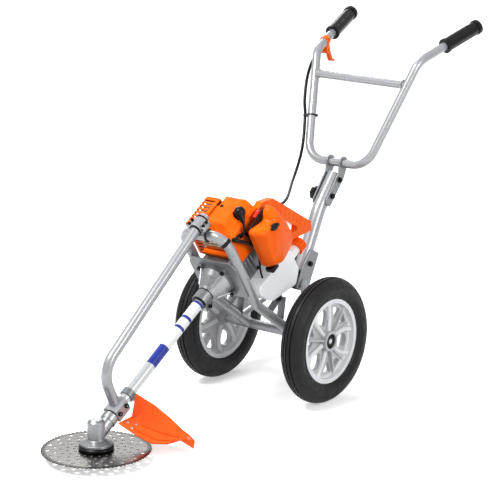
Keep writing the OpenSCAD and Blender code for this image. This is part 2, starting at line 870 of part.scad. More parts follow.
module support_cup() {
  bore = arbor_r + weld / 2;
  h = cup_h - weld;
  r = cup_d / 2;
  color(silver) turned(0)
    polygon([[nut_room_r, 0], [r - 9, 0], [r - 5, 1.5], [r, 9], [r, h], [bore, h], [bore, 12], [nut_room_r, 12]]);
}

module blade_nut() {
  color(steel) translate([0, blade_y, 4]) difference() {
    cylinder(r = 10, h = 8 - weld, $fn = 6);
    translate([0, 0, -1]) cylinder(r = arbor_r + weld / 2, h = 10);
  }
}

guard_t = 3;
guard_x = 22;
guard_low = [[0, guard_x, 52, 72], [0.25, 58, 70, 47], [0.5, 92, 87, 29], [0.75, 118, 112, 27], [0.9, 136, 137, 33], [1, 151, 166, 8]];
guard_mid = [[0, guard_x, 98, 76], [0.9, 139, 156, 36], [1, 152, 167.5, 17]];
guard_high = [[0, guard_x, 113, 128], [0.25, 58, 137, 101], [0.5, 92, 155, 71], [0.75, 122, 162, 47], [0.9, 142, 165, 37], [1, 153, 169, 25]];
guard_n = 20;
guard_m = 3;

function edge_at(rows, t) = [for (k = [1 : 3]) lookup(t, [for (r = rows) [r[0], r[k]]])];
function guard_pt(t, j) =
  let (a = edge_at(guard_low, t), b = edge_at(guard_mid, t), c = edge_at(guard_high, t), k = j / guard_m)
  k <= 1 ? a + (b - a) * k : b + (c - b) * (k - 1);

// Orange deflector: a sloping plate and a wall that rises behind it, from the tube to a turned-down tip.
module blade_guard() {
  cols = 2 * guard_m + 1;
  n = cols * (guard_n + 1);
  pts = [for (lift = [0, guard_t], i = [0 : guard_n], j = [0 : cols - 1]) guard_pt(i / guard_n, j) + [0, 0, lift]];
  low = [for (i = [0 : guard_n - 1], j = [0 : cols - 2]) let (a = i * cols + j)
    each [[a, a + 1, a + cols + 1], [a, a + cols + 1, a + cols]]];
  edge = concat([for (j = [0 : cols - 1]) j], [for (i = [1 : guard_n]) i * cols + cols - 1],
    [for (j = [cols - 2 : -1 : 0]) guard_n * cols + j], [for (i = [guard_n - 1 : -1 : 1]) i * cols]);
  side = [for (k = [0 : len(edge) - 1]) let (a = edge[k], b = edge[(k + 1) % len(edge)])
    each [[a, b + n, b], [a, a + n, b + n]]];
  high = [for (f = low) [f[0] + n, f[2] + n, f[1] + n]];
  color(orange) translate([0, blade_y, 0]) polyhedron(pts, concat(low, side, high));
}

bracket_u = 124 - drive_len;

module guard_bracket() {
  color(steel) on_engine() difference() {
    union() {
      barrel_y([0, bracket_u, 0], 16, drive_r + 4);
      lengthwise(bracket_u, bracket_u + 16) translate([drive_r, -9]) square([guard_x - drive_r - seat_gap, 9]);
      barrel_x([-drive_r - 8, bracket_u + 8, 0], 10, 4.5);
    }
    barrel_y([0, bracket_u - 1, 0], 18, drive_r + weld);
  }
}

// Engine

case_back = plate_u + 141;
case_w = 42;
case_low = -58;
case_high = 42;

module crankcase() {
  color(silver) on_engine() difference() {
    union() {
      lengthwise(plate_u + weld, case_back)
        rounded([[-case_w, case_low], [case_w, case_low], [case_w, case_high], [-case_w, case_high]], 14);
      for (p = clutch_bolts) barrel_y([p.x, plate_u + weld, p.y], 30, 8);
    }
    barrel_y([0, plate_u - 1, 0], crank_end - plate_u + 2, crank_r + run_fit);
    for (p = clutch_bolts) barrel_y([p.x, plate_u - 1, p.y], 18, m6_r + weld);
  }
}

cyl_u = plate_u + 92;
cyl_x = 2;
fin_n = 7;
fin_step = 8;
fin_t = 2;

// Finned cylinder with its head, standing on the crankcase.
module engine_cylinder() {
  color("#a9a79f") on_engine() translate([cyl_x, cyl_u, case_high + weld]) difference() {
    union() {
      cylinder_body(24, fin_n * fin_step);
      for (k = [0 : fin_n - 1])
        translate([0, 0, 3 + k * fin_step]) linear_extrude(fin_t)
          rounded([[-33, -33], [33, -33], [33, 33], [-33, 33]], 8);
    }
    translate(plug_at - [cyl_x, cyl_u, case_high + weld]) plug_axis() {
      translate([0, 0, 2 - plug_seat - weld]) cylinder_body(5 + weld, plug_seat + 4);
      translate([0, 0, 2]) cylinder_body(13.5, 60);
    }
  }
}

module cylinder_body(r, h) {
  linear_extrude(h) circle(r = r);
}

// Spark plug: it leans to the right out of the cylinder's head.
plug_at = [27, cyl_u + 21, 103];
plug_seat = 12;
plug_lean = 35;

module plug_axis() {
  rotate([0, plug_lean, 0]) children();
}

module at_plug() {
  on_engine() translate(plug_at) plug_axis() children();
}

module spark_plug() {
  color(white) at_plug() {
    translate([0, 0, -plug_seat + 2]) cylinder_body(5, plug_seat);
    cylinder_body(4, 12);
  }
}

module plug_boot() {
  color(black) at_plug() rotate_extrude() difference() {
    union() {
      translate([0, 3]) square([11, 14]);
      intersection() {
        translate([0, 17]) circle(r = 13);
        translate([0, 7]) square([14, 22.6]);
      }
    }
    translate([0, -1]) square([4 + seat_gap, 13 + seat_gap]);
  }
}

module plug_lead() {
  boot = plug_at + [17 * sin(plug_lean), 0, 17 * cos(plug_lean)];
  color(black) on_engine()
    tube_path([boot + [11.5, -3, -8], [cowl_right + 8, plug_at.y - 11, 92], [cowl_right + 9, plug_at.y - 21, 68],
               [cowl_right + 9, plug_at.y - 42, 56], [cowl_right + seat_gap, plug_at.y - 42, 56]], 6, 3);
}

cowl_front = plate_u + 42;
cowl_back = case_back + 17;
cowl_low = 48;

module cowl_block(grow) {
  r = cowl_right + grow;
  l = -cowl_left - grow;
  t = cowl_top + grow;
  intersection() {
    lengthwise(cowl_front - grow, cowl_back + grow)
      rounded([[l, cowl_low], [r, cowl_low], [r, t - 30], [r - 24, t], [l, t]], 10);
    across(l - 1, r + 1)
      rounded([[cowl_front - grow, cowl_low - 20], [cowl_back + grow, cowl_low - 20], [cowl_back + grow, t],
               [cowl_front + 24 - grow, t], [cowl_front - grow, t - 40]], 8);
  }
}

module cylinder_cowl() {
  color(orange) on_engine() difference() {
    union() {
      cowl_block(0);
      across(cowl_right - cover_t, cowl_right)
        rounded([[cowl_front, cowl_low + 20], [cowl_front + 4, 14], [carb_u - 24, 12], [carb_u - 24, cowl_low + 20]], 5);
    }
    translate([0, 0, -cover_t]) cowl_block(-cover_t);
    translate(plug_at) plug_axis() cylinder_body(14.5, 40);
    translate([-cowl_left - 5, cyl_u - port.x / 2 - side_gap, port_v - side_gap]) cube([10, port.x + 2 * side_gap, port.y + 2 * side_gap]);
  }
}

muffler_x = [-cowl_left - 40, -case_w - 4];
muffler_u = [plate_u + 52, plate_u + 132];
muffler_v = [26, 116];

port = [28, 26];
port_v = 62;

module muffler_block(grow, right = 0) {
  x0 = muffler_x[0] - grow;
  x1 = muffler_x[1] + grow + right;
  lengthwise(muffler_u[0] - grow, muffler_u[1] + grow)
    rounded([[x0, muffler_v[0] - grow], [x1, muffler_v[0] - grow], [x1, muffler_v[1] + grow], [x0, muffler_v[1] + grow]], 7);
}

module muffler() {
  color("#b0a894") on_engine() {
    muffler_block(0);
    translate([muffler_x[1] - 1, cyl_u - port.x / 2, port_v]) cube([cyl_x - 33 - muffler_x[1] + 1 - weld, port.x, port.y]);
  }
}

guard_gap = 5;
slat = 5;

// Louvred shell over the muffler, open to the right, with slots in its top, front and side.
module muffler_guard() {
  g = guard_gap;
  n = floor((muffler_u[1] - muffler_u[0]) / (2 * slat + 1));
  pitch = (muffler_u[1] - muffler_u[0]) / n;
  color(orange) on_engine() difference() {
    muffler_block(g + cover_t, 16);
    muffler_block(g, 16);
    translate([-cowl_left - seat_gap, muffler_u[0] - 20, muffler_v[0] - 20]) cube([40, 140, 120]);
    translate([-case_w - side_gap, muffler_u[0] - 20, muffler_v[0] - 20]) cube([40, 140, case_high - muffler_v[0] + 22]);
    for (k = [0 : n - 1])
      translate([muffler_x[0] - 20, muffler_u[0] + pitch * (k + 0.25), muffler_v[1] - 12]) cube([muffler_x[1] - muffler_x[0] + 20, slat, 40]);
    for (k = [0 : 7])
      translate([muffler_x[0] + 2, muffler_u[0] - 20, muffler_v[0] + 4 + k * 11]) cube([muffler_x[1] - muffler_x[0] - 4, 30, slat]);
  }
}

carb_u = cyl_u + 28;
carb_v = 22;
carb_x = case_w + seat_gap;
filter_in = 66;

// Carburettor body between the crankcase's intake and the filter.
module carburettor() {
  color(silver) on_engine() difference() {
    union() {
      across(carb_x, filter_in - seat_gap) translate([carb_u, carb_v])
        rounded([[-20, -18], [20, -18], [20, 16], [-20, 16]], 4);
    }
    barrel_x([carb_x - 1, carb_u, carb_v], 30, 8);
  }
}

choke_p = [carb_u + 16, 52];

module choke_lever() {
  color("#c8281e") on_engine() {
    across(filter_in - 12, filter_in - 8) {
      translate(choke_p) circle(r = 6);
      polygon([choke_p + [-5, 2], choke_p + [-1, 26], choke_p + [9, 26], choke_p + [5, 2]]);
    }
    barrel_x([filter_in - 8, choke_p.x, choke_p.y], 8 - side_gap, 3);
    barrel_x([filter_in - 16, choke_p.x + 4, choke_p.y + 22], 8, 5);
  }
}

filter_poly = [[plate_u + 84, 92], [plate_u + 170, 96], [plate_u + 196, 20], [plate_u + 176, -34],
               [plate_u + 112, -48], [plate_u + 78, -26]];
filter_mid = [plate_u + 138, 20];
filter_plate = 4;

function drawn_in(pts, d) = pts - [for (q = pts) unit(q - filter_mid) * d];

module filter_base() {
  color(black) on_engine() difference() {
    union() {
      across(filter_in, filter_in + filter_plate) rounded(drawn_in(filter_poly, 3), 20);
      barrel_x([filter_in + filter_plate - 1, filter_bolt.x, filter_bolt.y], filter_x - filter_in - filter_plate - 2, 3);
    }
    barrel_x([filter_in - 1, choke_p.x, choke_p.y], 5, 3 + run_fit);
  }
}

filter_bolt = [plate_u + 133, 66];

filter_round = 18;

// Pillow-shaped cover: its outline, with the outer edges rounded along the engine and upright.
module filter_outside(grow) {
  x = [filter_in + filter_plate + weld, filter_x + grow];
  u = [plate_u + 76 - grow, plate_u + 196 + grow];
  v = [-48 - grow, 96 + grow];
  intersection() {
    across(x[0], x[1]) rounded(drawn_in(filter_poly, -grow), 20);
    lengthwise(u[0] - 1, u[1] + 1) rounded([[x[0] - 40, v[0]], [x[1], v[0]], [x[1], v[1]], [x[0] - 40, v[1]]], filter_round);
    translate([0, 0, v[0] - 1]) linear_extrude(v[1] - v[0] + 2)
      rounded([[x[0] - 40, u[0]], [x[1], u[0]], [x[1], u[1]], [x[0] - 40, u[1]]], filter_round);
  }
}

module filter_cover() {
  color(orange) on_engine() difference() {
    filter_outside(0);
    translate([-1, 0, 0]) filter_outside(-cover_t);
    barrel_x([filter_x - 30, filter_bolt.x, filter_bolt.y], 60, 4);
  }
}

module filter_knob() {
  color(black) on_engine() difference() {
    union() {
      barrel_x([filter_x + seat_gap, filter_bolt.x, filter_bolt.y], 9, 8);
      translate([filter_x + seat_gap, filter_bolt.x - 12, filter_bolt.y - 2.5]) cube([12, 24, 5]);
    }
    barrel_x([filter_x - 1, filter_bolt.x, filter_bolt.y], 4, 3 + run_fit);
  }
}

cap_x = tank_x - 24;
cap_v = -105;
cap_r = 19;
neck_len = 46;
cap_u = tank_back + 36;

module fuel_tank() {
  color(white) on_engine() difference() {
    union() {
      across(-tank_x, tank_x) rounded(tank_poly, 16);
      barrel_y([cap_x, tank_back - 2, cap_v], neck_len + 2, 13);
    }
    across(-tank_x + 3, tank_x - 3) rounded(tank_poly - [for (p = tank_poly) unit(p - [190, -108]) * 4], 14);
    barrel_y([cap_x, tank_back - 30, cap_v], neck_len + 40, 10);
  }
}

module fuel_cap() {
  color(orange) on_engine() difference() {
    union() {
      barrel_y([cap_x, cap_u, cap_v], 24, cap_r - 2);
      for (k = [0 : 11])
        translate([cap_x, cap_u, cap_v]) rotate([0, 30 * k, 0]) translate([cap_r - 4, 0, -2.5]) cube([4, 24, 5]);
    }
    barrel_y([cap_x, cap_u - 1, cap_v], tank_back + neck_len + side_gap - cap_u + 1, 13 + run_fit);
  }
}

starter_r = 64;
starter_back = case_back + 48;

module starter_outside(grow) {
  intersection() {
    union() {
      barrel_y([0, case_back + weld, 0], 30, starter_r + grow);
      translate([0, case_back + 30, 0]) rotate([-90, 0, 0]) cylinder(r1 = starter_r + grow, r2 = starter_r - 20 + grow, h = 18 + grow);
    }
    translate([-80, case_back, tank_top + 3 - grow]) cube([160, 60, cowl_low - tank_top - 4 + 2 * grow]);
  }
}

module starter_housing() {
  color(orange) on_engine() difference() {
    starter_outside(0);
    for (k = [0 : 9]) rotate([0, 36 * k, 0]) translate([26, starter_back - 3, -2]) cube([14, 6, 4]);
    barrel_y([grip_x, starter_back - 44, grip_v], 50, rope_r + run_fit);
  }
}

grip_x = -30;
grip_v = 24;
rope_r = 2;

// Starter grip with the first stretch of its rope.
module starter_grip() {
  color(black) on_engine() {
    barrel_y([grip_x, starter_back + side_gap, grip_v], 16, 7);
    barrel_x([grip_x - 24, starter_back + side_gap + 22, grip_v], 48, 8);
    barrel_y([grip_x, starter_back - 40, grip_v], 42, rope_r);
  }
}

loop_x = [34, 54];

// Ribbed strap that guards the starter and serves to lift the engine.
module rear_loop() {
  seat = cowl_back + seat_gap;
  top = [case_back + 74, cowl_low + 24];
  tip = [plate_u + 300, -84];
  rib_run = tip - top;
  color(orange) on_engine() difference() {
    union() {
      across(loop_x[0], loop_x[1])
        rounded([[seat, 58], [seat, 90], [seat + 20, 94], top, tip, tip + [-12, -20], tip + [-70, 8], [tank_back + 4, tank_top + 2],
                 [starter_back - 20, tank_top + 2], [starter_back - 20, -40], [starter_back, -38], tip + [-56, 22],
                 tip + [-50, 28], [starter_back, 48], [seat + 18, 58]], 3);
      for (k = [0 : 8])
        across(loop_x[1] - 1, loop_x[1] + 1.5)
          translate(top + [-11, -6] + rib_run * (k + 0.5) / 9.6) rotate(atan2(rib_run.y, rib_run.x)) square([6, 18], center = true);
    }
    starter_outside(seat_gap);
  }
}

// Handlebar

bar_wall = 2;
bar_curve = 56;
cross_z = 735;
cross_k = (cross_z - bar_z) / (bar_bend_z - bar_z);
cross_p = bar_low + (bar_bend - bar_low) * cross_k;
cross_r = 10;

module handlebar() {
  half = [bar_end, bar_bend, bar_low];
  other = [for (i = [2 : -1 : 0]) [-half[i].x, half[i].y, half[i].z]];
  color(silver) {
    tube_path(concat(half, other), bar_curve, bar_r, bar_r - bar_wall);
    difference() {
      barrel_x([-cross_p.x, cross_p.y, cross_p.z], 2 * cross_p.x, cross_r);
      barrel_x([-cross_p.x, cross_p.y, cross_p.z], 2 * cross_p.x, cross_r - bar_wall);
      mirrored() rod(bar_low, bar_bend, bar_r - 0.5);
    }
  }
}

module grip() {
  color(black) along(bar_end - grip_dir * grip_len, grip_dir) difference() {
    union() {
      cylinder_body(grip_d / 2, grip_len + grip_cap);
      cylinder_body(grip_d / 2 + 3, 8);
      translate([0, 0, grip_len + grip_cap - 10]) cylinder_body(grip_d / 2 + 3, 10);
      for (k = [0 : 7]) rotate(45 * k) translate([grip_d / 2 - 1, -2, 14]) cube([2, 4, grip_len - 32]);
    }
    translate([0, 0, -1]) cylinder_body(bar_r + weld, grip_len + 1 + weld);
  }
}

module right_grip() { grip(); }
module left_grip() { mirror([1, 0, 0]) grip(); }

// Throttle on the left tube, between the bend and the grip: Z along the tube, Y down, X inward.
throttle_s = 50;
lever_p = [6, bar_r + 15];
lever_w = 10;

module at_throttle() {
  z = grip_dir;
  x = unit(cross(z, [0, 0, -1]));
  mirror([1, 0, 0]) place(bar_bend + grip_dir * throttle_s, -x, cross(z, -x), z) children();
}

module throttle_body() {
  color(orange) at_throttle() difference() {
    union() {
      translate([0, 0, -7]) cylinder_body(bar_r + 2.5, 14);
      translate([-8, bar_r - 2, -12]) cube([16, 22, 20]);
    }
    translate([0, 0, -20]) cylinder_body(bar_r + weld, 40);
    translate([-lever_w / 2 - side_gap, bar_r + 6, -8]) cube([lever_w + 2 * side_gap, 30, 40]);
    translate([-20, lever_p.y, 0]) rotate([0, 90, 0]) cylinder_body(2.5 + run_fit, 40);
  }
}

module throttle_lever() {
  color(orange) at_throttle() {
    translate([-lever_w / 2, lever_p.y, 0]) rotate([90, 0, 90]) linear_extrude(lever_w) {
      circle(r = 5);
      rounded([[-4, -3], [-3, 6], [10, 14], [34, 20], [44, 32], [48, 28], [38, 10], [14, 4], [4, -4]], 2);
    }
    translate([-10, lever_p.y, 0]) rotate([0, 90, 0]) cylinder_body(2.5, 20);
  }
}

cable_r = 4;

// Throttle cable from the lever's body, along the left tube, into the back of the cowl.
module throttle_cable() {
  pts = [[-172.8, 434.4, 779.4], [-176, 405, 764], [-168, 368, 722], [-152, 336, 668], [-131.5, 311, 634],
         [-104, 262, 556], [-62, 168, 497], concat(20, world(340, 2)), concat(16, world(292, 52)),
         concat(14, world(262, cowl_low + 14)), concat(14, world(cowl_back + seat_gap, cowl_low + 14))];
  color(black) tube_path(pts, 22, cable_r);
}

machine() axle_tube();
machine() axle_rod();
machine() left_rim();
machine() right_rim();
machine() left_tyre();
machine() right_tyre();
machine() engine_hoop();
machine() engine_plate();
machine() tank_brackets();
machine() tank_pads();
machine() rear_column();
machine() column_foot();
machine() rear_struts();
machine() frame_fasteners();
machine() guard_tube();
machine() upper_clamp();
machine() lower_clamp();
machine() drive_tube();
machine() shaft_bushes();
machine() clutch_housing();
machine() drive_shaft();
machine() clutch_drum();
machine() crankshaft();
machine() gearbox_housing();
machine() head_bearings();
machine() bevel_pinion();
machine() bevel_gear();
machine() blade_arbor();
machine() blade_adapter();
machine() saw_blade();
machine() support_cup();
machine() blade_nut();
machine() blade_guard();
machine() guard_bracket();
machine() crankcase();
machine() engine_cylinder();
machine() cylinder_cowl();
machine() muffler();
machine() muffler_guard();
machine() spark_plug();
machine() plug_boot();
machine() plug_lead();
machine() carburettor();
machine() choke_lever();
machine() filter_base();
machine() filter_cover();
machine() filter_knob();
machine() fuel_tank();
machine() fuel_cap();
machine() starter_housing();
machine() rear_loop();
machine() starter_grip();
machine() handlebar();
machine() left_grip();
machine() right_grip();
machine() bar_plates();
machine() star_knob();
machine() throttle_body();
machine() throttle_lever();
machine() throttle_cable();
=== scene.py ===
# %% [markdown]
# # A wheeled brush cutter
# A petrol engine on a two-wheeled tube frame turns a saw blade at the low end of a long drive tube.
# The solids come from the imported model, already in metres and in their right places. This lesson
# gives them their finishes and adds the small pieces that a solid model leaves out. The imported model
# is loaded first, because every piece that follows is placed from it.

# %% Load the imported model
import json
import math

import bmesh
import bpy
from mathutils import Matrix, Vector
from mathutils.bvhtree import BVHTree
from mathutils.geometry import interpolate_bezier


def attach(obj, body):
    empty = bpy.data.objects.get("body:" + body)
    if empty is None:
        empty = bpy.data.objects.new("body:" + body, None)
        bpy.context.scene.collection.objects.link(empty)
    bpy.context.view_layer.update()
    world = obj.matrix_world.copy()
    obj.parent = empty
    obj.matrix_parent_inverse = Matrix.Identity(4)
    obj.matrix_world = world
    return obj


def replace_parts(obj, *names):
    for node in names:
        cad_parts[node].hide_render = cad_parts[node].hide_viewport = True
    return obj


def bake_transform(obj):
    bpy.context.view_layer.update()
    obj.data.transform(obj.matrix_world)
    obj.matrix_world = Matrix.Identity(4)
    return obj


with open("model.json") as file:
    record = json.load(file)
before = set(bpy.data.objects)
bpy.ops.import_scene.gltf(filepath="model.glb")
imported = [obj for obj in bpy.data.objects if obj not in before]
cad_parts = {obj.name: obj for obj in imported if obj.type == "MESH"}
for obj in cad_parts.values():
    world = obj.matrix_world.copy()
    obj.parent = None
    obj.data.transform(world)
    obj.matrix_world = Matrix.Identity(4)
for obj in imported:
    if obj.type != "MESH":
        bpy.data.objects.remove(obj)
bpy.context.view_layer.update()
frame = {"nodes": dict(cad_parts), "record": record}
scene = bpy.context.scene

# %% [markdown]
# Two frames of reference help. The machine's own one has its origin on the ground under the axle, and
# the engine's one leans with the drive tube: x across, u up along the tube, v square to it.

# %% Places on the machine
MM = 0.001
AXLE_Y, AXLE_Z = 86.566, 157.5
BLADE_Y, HEAD_Z = -651, 53
LEAN = math.radians(32.2)
TUBE_RUN = 452
ENGINE_Y = BLADE_Y + TUBE_RUN * math.cos(LEAN)
ENGINE_Z = HEAD_Z + TUBE_RUN * math.sin(LEAN)


def machine(x, y, z):
    return Vector((x, y + AXLE_Y, z)) * MM


def engine(x, u, v):
    y = ENGINE_Y + u * math.cos(LEAN) - v * math.sin(LEAN)
    z = ENGINE_Z + u * math.sin(LEAN) + v * math.cos(LEAN)
    return machine(x, y, z)


ACROSS = Vector((1, 0, 0))
UP_TUBE = (engine(0, 1, 0) - engine(0, 0, 0)).normalized()
OFF_TUBE = (engine(0, 0, 1) - engine(0, 0, 0)).normalized()
print("drive tube runs along", tuple(round(c, 4) for c in UP_TUBE))

# %% [markdown]
# The camera stands where the photographer's did: about 38 degrees round to the right of the blade's
# end and 15 degrees up, far away with a long lens, so the two wheels look nearly the same size.

# %% Camera
CAMERA_PLACE, FOCAL_PIXELS, PHOTO_PIXELS, SENSOR_MM = (3120, -4051, 1698), 2135, 500, 36
azimuth, elevation, roll = (math.radians(a) for a in (38.195, 14.685, 0.165))
flat = math.cos(elevation)
back = Vector((math.sin(azimuth) * flat, -math.cos(azimuth) * flat, math.sin(elevation)))
level = Vector((math.cos(azimuth), math.sin(azimuth), 0))
right = math.cos(roll) * level + math.sin(roll) * back.cross(level)
camera_data = bpy.data.cameras.new("camera")
camera_data.sensor_fit = "HORIZONTAL"
camera_data.sensor_width = SENSOR_MM
camera_data.lens = SENSOR_MM * FOCAL_PIXELS / PHOTO_PIXELS
camera = bpy.data.objects.new("camera", camera_data)
turn = Matrix((right, back.cross(right), back)).transposed().to_4x4()
camera.matrix_world = Matrix.Translation(machine(*CAMERA_PLACE)) @ turn
scene.collection.objects.link(camera)
scene.camera = camera
print("camera at", tuple(round(c, 3) for c in camera.location))

# %% [markdown]
# Every colour below is written as a hex value, as on a paint card, and one function makes it linear.
# One more small function adds a node: its inputs are either plain values or the outputs of other nodes.

# %% Colours and nodes
def colour(text):
    parts = [int(text[i:i + 2], 16) / 255 for i in (1, 3, 5)]
    return tuple(c / 12.92 if c <= 0.04045 else ((c + 0.055) / 1.055) ** 2.4 for c in parts) + (1.0,)


def add(tree, kind, inputs=None, **settings):
    """Adds a node, with its settings and its inputs."""
    made = tree.nodes.new(kind)
    for name, value in settings.items():
        setattr(made, name, value)
    for name, value in (inputs or {}).items():
        if isinstance(value, bpy.types.NodeSocket):
            tree.links.new(value, made.inputs[name])
        else:
            made.inputs[name].default_value = value
    return made


def new_material(name, base, **sockets):
    """A material with its node tree, its shader and the place on the piece that patterns are drawn from."""
    material = bpy.data.materials.new(name)
    material.use_nodes = True
    tree = material.node_tree
    shader = tree.nodes["Principled BSDF"]
    shader.inputs["Base Color"].default_value = colour(base)
    for socket, value in sockets.items():
        shader.inputs[socket.replace("_", " ")].default_value = value
    spot = add(tree, "ShaderNodeTexCoord").outputs["Object"]
    return material, tree, shader, spot


def mottle(tree, shader, spot, size_mm, dark, light, detail=4):
    """Lets the colour drift between two shades over patches of about size_mm."""
    noise = add(tree, "ShaderNodeTexNoise", {"Vector": spot, "Scale": 1000 / size_mm, "Detail": detail})
    ramp = add(tree, "ShaderNodeValToRGB", {"Fac": noise.outputs["Fac"]})
    ramp.color_ramp.elements[0].position, ramp.color_ramp.elements[1].position = 0.3, 0.7
    ramp.color_ramp.elements[0].color, ramp.color_ramp.elements[1].color = colour(dark), colour(light)
    tree.links.new(ramp.outputs["Color"], shader.inputs["Base Color"])
    return ramp


def roughen(tree, shader, spot, size_mm, height_mm, low, high):
    """Grain of about size_mm: a bump of height_mm and a roughness that drifts from low to high."""
    noise = add(tree, "ShaderNodeTexNoise", {"Vector": spot, "Scale": 1000 / size_mm, "Detail": 3})
    grain = {"Height": noise.outputs["Fac"], "Distance": height_mm * MM, "Strength": 1}
    bump = add(tree, "ShaderNodeBump", grain)
    tree.links.new(bump.outputs["Normal"], shader.inputs["Normal"])
    wide = add(tree, "ShaderNodeTexNoise", {"Vector": spot, "Scale": 1000 / (size_mm * 12), "Detail": 2})
    drift = {"Value": wide.outputs["Fac"], "From Min": 0.3, "From Max": 0.7, "To Min": low, "To Max": high}
    span = add(tree, "ShaderNodeMapRange", drift)
    tree.links.new(span.outputs["Result"], shader.inputs["Roughness"])


print("the covers' orange in linear light:", tuple(round(c, 3) for c in colour("#ff6c12")))

# %% [markdown]
# ## Floor and light
# A product picture stands on white. The floor glows by itself: less beside the machine, so that it takes
# a soft shadow there, and more far away, where the lamps don't reach.

# %% Floor
def seen_or_mirrored(tree):
    """1 for what the camera, a mirror or glass sees, and 0 for the light that falls on things."""
    path = add(tree, "ShaderNodeLightPath").outputs
    seen = path["Is Camera Ray"]
    for ray in ("Is Glossy Ray", "Is Transmission Ray"):
        seen = add(tree, "ShaderNodeMath", {0: seen, 1: path[ray]}, operation="MAXIMUM").outputs["Value"]
    return seen


def white_floor():
    sockets = {"Roughness": 0.9, "Specular_IOR_Level": 0.0}
    material, tree, shader, spot = new_material("White paper sweep", "#ffffff", **sockets)
    seen = seen_or_mirrored(tree)
    greys = {"Factor": seen, 6: colour("#8c8c8c"), 7: colour("#f4f4f4")}
    shade = add(tree, "ShaderNodeMix", greys, data_type="RGBA")
    tree.links.new(shade.outputs[2], shader.inputs["Base Color"])
    far = add(tree, "ShaderNodeVectorMath", {0: spot}, operation="LENGTH").outputs["Value"]
    rise = {"Value": far, "From Min": 0.7, "From Max": 2.2, "To Min": 0.4, "To Max": 1.0}
    paper = add(tree, "ShaderNodeMapRange", rise)
    level = add(tree, "ShaderNodeMapRange", {"Value": seen, "To Min": 0.2, "To Max": paper.outputs["Result"]})
    glow = add(tree, "ShaderNodeEmission", {"Color": colour("#ffffff"), "Strength": level.outputs["Result"]})
    both = add(tree, "ShaderNodeAddShader", {0: shader.outputs["BSDF"], 1: glow.outputs["Emission"]})
    tree.links.new(both.outputs["Shader"], tree.nodes["Material Output"].inputs["Surface"])
    return material


FLOOR_HALF, FLOOR_DROP = 14, 0.0005
floor_mesh = bmesh.new()
bmesh.ops.create_grid(floor_mesh, x_segments=1, y_segments=1, size=FLOOR_HALF)
bmesh.ops.translate(floor_mesh, verts=floor_mesh.verts, vec=(0, 0, -FLOOR_DROP))
floor = bpy.data.objects.new("floor", bpy.data.meshes.new("floor"))
floor_mesh.to_mesh(floor.data)
floor_mesh.free()
floor.data.materials.append(white_floor())
scene.collection.objects.link(floor)
print("floor of", 2 * FLOOR_HALF, "m")

# %% [markdown]
# The world is white to the camera and to mirrors alike, but lights things less. A key lamp stands high in
# front, a fill lamp to the right, and a rim lamp behind draws the edges.

# %% World and lamps
world = bpy.data.worlds.new("studio")
scene.world = world
world.use_nodes = True
sky = world.node_tree.nodes["Background"]
white = {"Value": seen_or_mirrored(world.node_tree), "To Min": 0.42, "To Max": 1.0}
strength = add(world.node_tree, "ShaderNodeMapRange", white)
world.node_tree.links.new(strength.outputs["Result"], sky.inputs["Strength"])
sky.inputs["Color"].default_value = colour("#ffffff")


def lamp(name, place, aim, size, watts):
    data = bpy.data.lights.new(name, "AREA")
    data.shape = "RECTANGLE"
    data.size, data.size_y = size
    data.energy = watts
    made = bpy.data.objects.new(name, data)
    look = (Vector(aim) - Vector(place)).to_track_quat("-Z", "Y")
    made.matrix_world = Matrix.Translation(place) @ look.to_matrix().to_4x4()
    scene.collection.objects.link(made)


lamp("key", (-0.6, -1.9, 3.1), (0, 0, 0.35), (1.1, 0.8), 125)
lamp("fill", (2.7, -0.4, 1.5), (0, 0.1, 0.4), (1.2, 1.4), 44)
lamp("rim", (-2.0, 1.6, 2.2), (0, 0, 0.4), (1.0, 1.4), 30)
scene.view_settings.view_transform = "Standard"
print("lamps", len(bpy.data.lights))

# %% [markdown]
# ## Finishes
# Each finish is named for the real material. The tubes carry silver powder coat: a pale grey with fine
# metal flakes, which glints softly. Flakes of a tenth of a millimetre can't show at this size, so they
# are drawn as 1 mm patches.

# %% Silver powder coat
def silver_coat(name, dark, light, low, high):
    sockets = {"Metallic": 0.35, "Coat_Weight": 0.15, "Coat_Roughness": 0.2}
    material, tree, shader, spot = new_material(name, light, **sockets)
    mottle(tree, shader, spot, 1.0, dark, light)
    roughen(tree, shader, spot, 0.8, 0.005, low, high)
    return material


tube_silver = silver_coat("Silver powder coat on steel tube", "#94969a", "#9c9ea2", 0.27, 0.3)
plate_grey = silver_coat("Grey powder coat on steel plate", "#75787c", "#7d8083", 0.36, 0.4)
shaft_silver = silver_coat("Pale powder coat on drive tube", "#bcbfc2", "#c6c9cb", 0.24, 0.28)
print("powder coats:", tube_silver.name, "/", plate_grey.name, "/", shaft_silver.name)

# %% [markdown]
# Castings have a faint sand-like skin of about a millimetre. Saw steel is ground smooth, with its toothed
# edge left dark, and plated bolts are brighter.

# %% Cast alloy and steels
def metal(name, dark, light, grain_mm, height_mm, low, high):
    material, tree, shader, spot = new_material(name, light, Metallic=1.0)
    mottle(tree, shader, spot, grain_mm * 6, dark, light)
    roughen(tree, shader, spot, grain_mm, height_mm, low, high)
    return material


cast_alloy = metal("Die-cast aluminium", "#85878a", "#929497", 0.9, 0.012, 0.32, 0.4)
cup_alloy = metal("Polished cast aluminium", "#9fa1a3", "#c2c4c5", 1.2, 0.01, 0.2, 0.32)
bolt_steel = metal("Zinc-plated steel", "#9b9fa3", "#b9bdc1", 0.7, 0.008, 0.25, 0.4)
muffler_tin = metal("Heat-tinted pressed steel", "#94866a", "#b8ad98", 1.5, 0.01, 0.3, 0.5)
black_oxide = metal("Black-oxide steel", "#1b1b1c", "#2a2a2b", 0.6, 0.01, 0.3, 0.42)


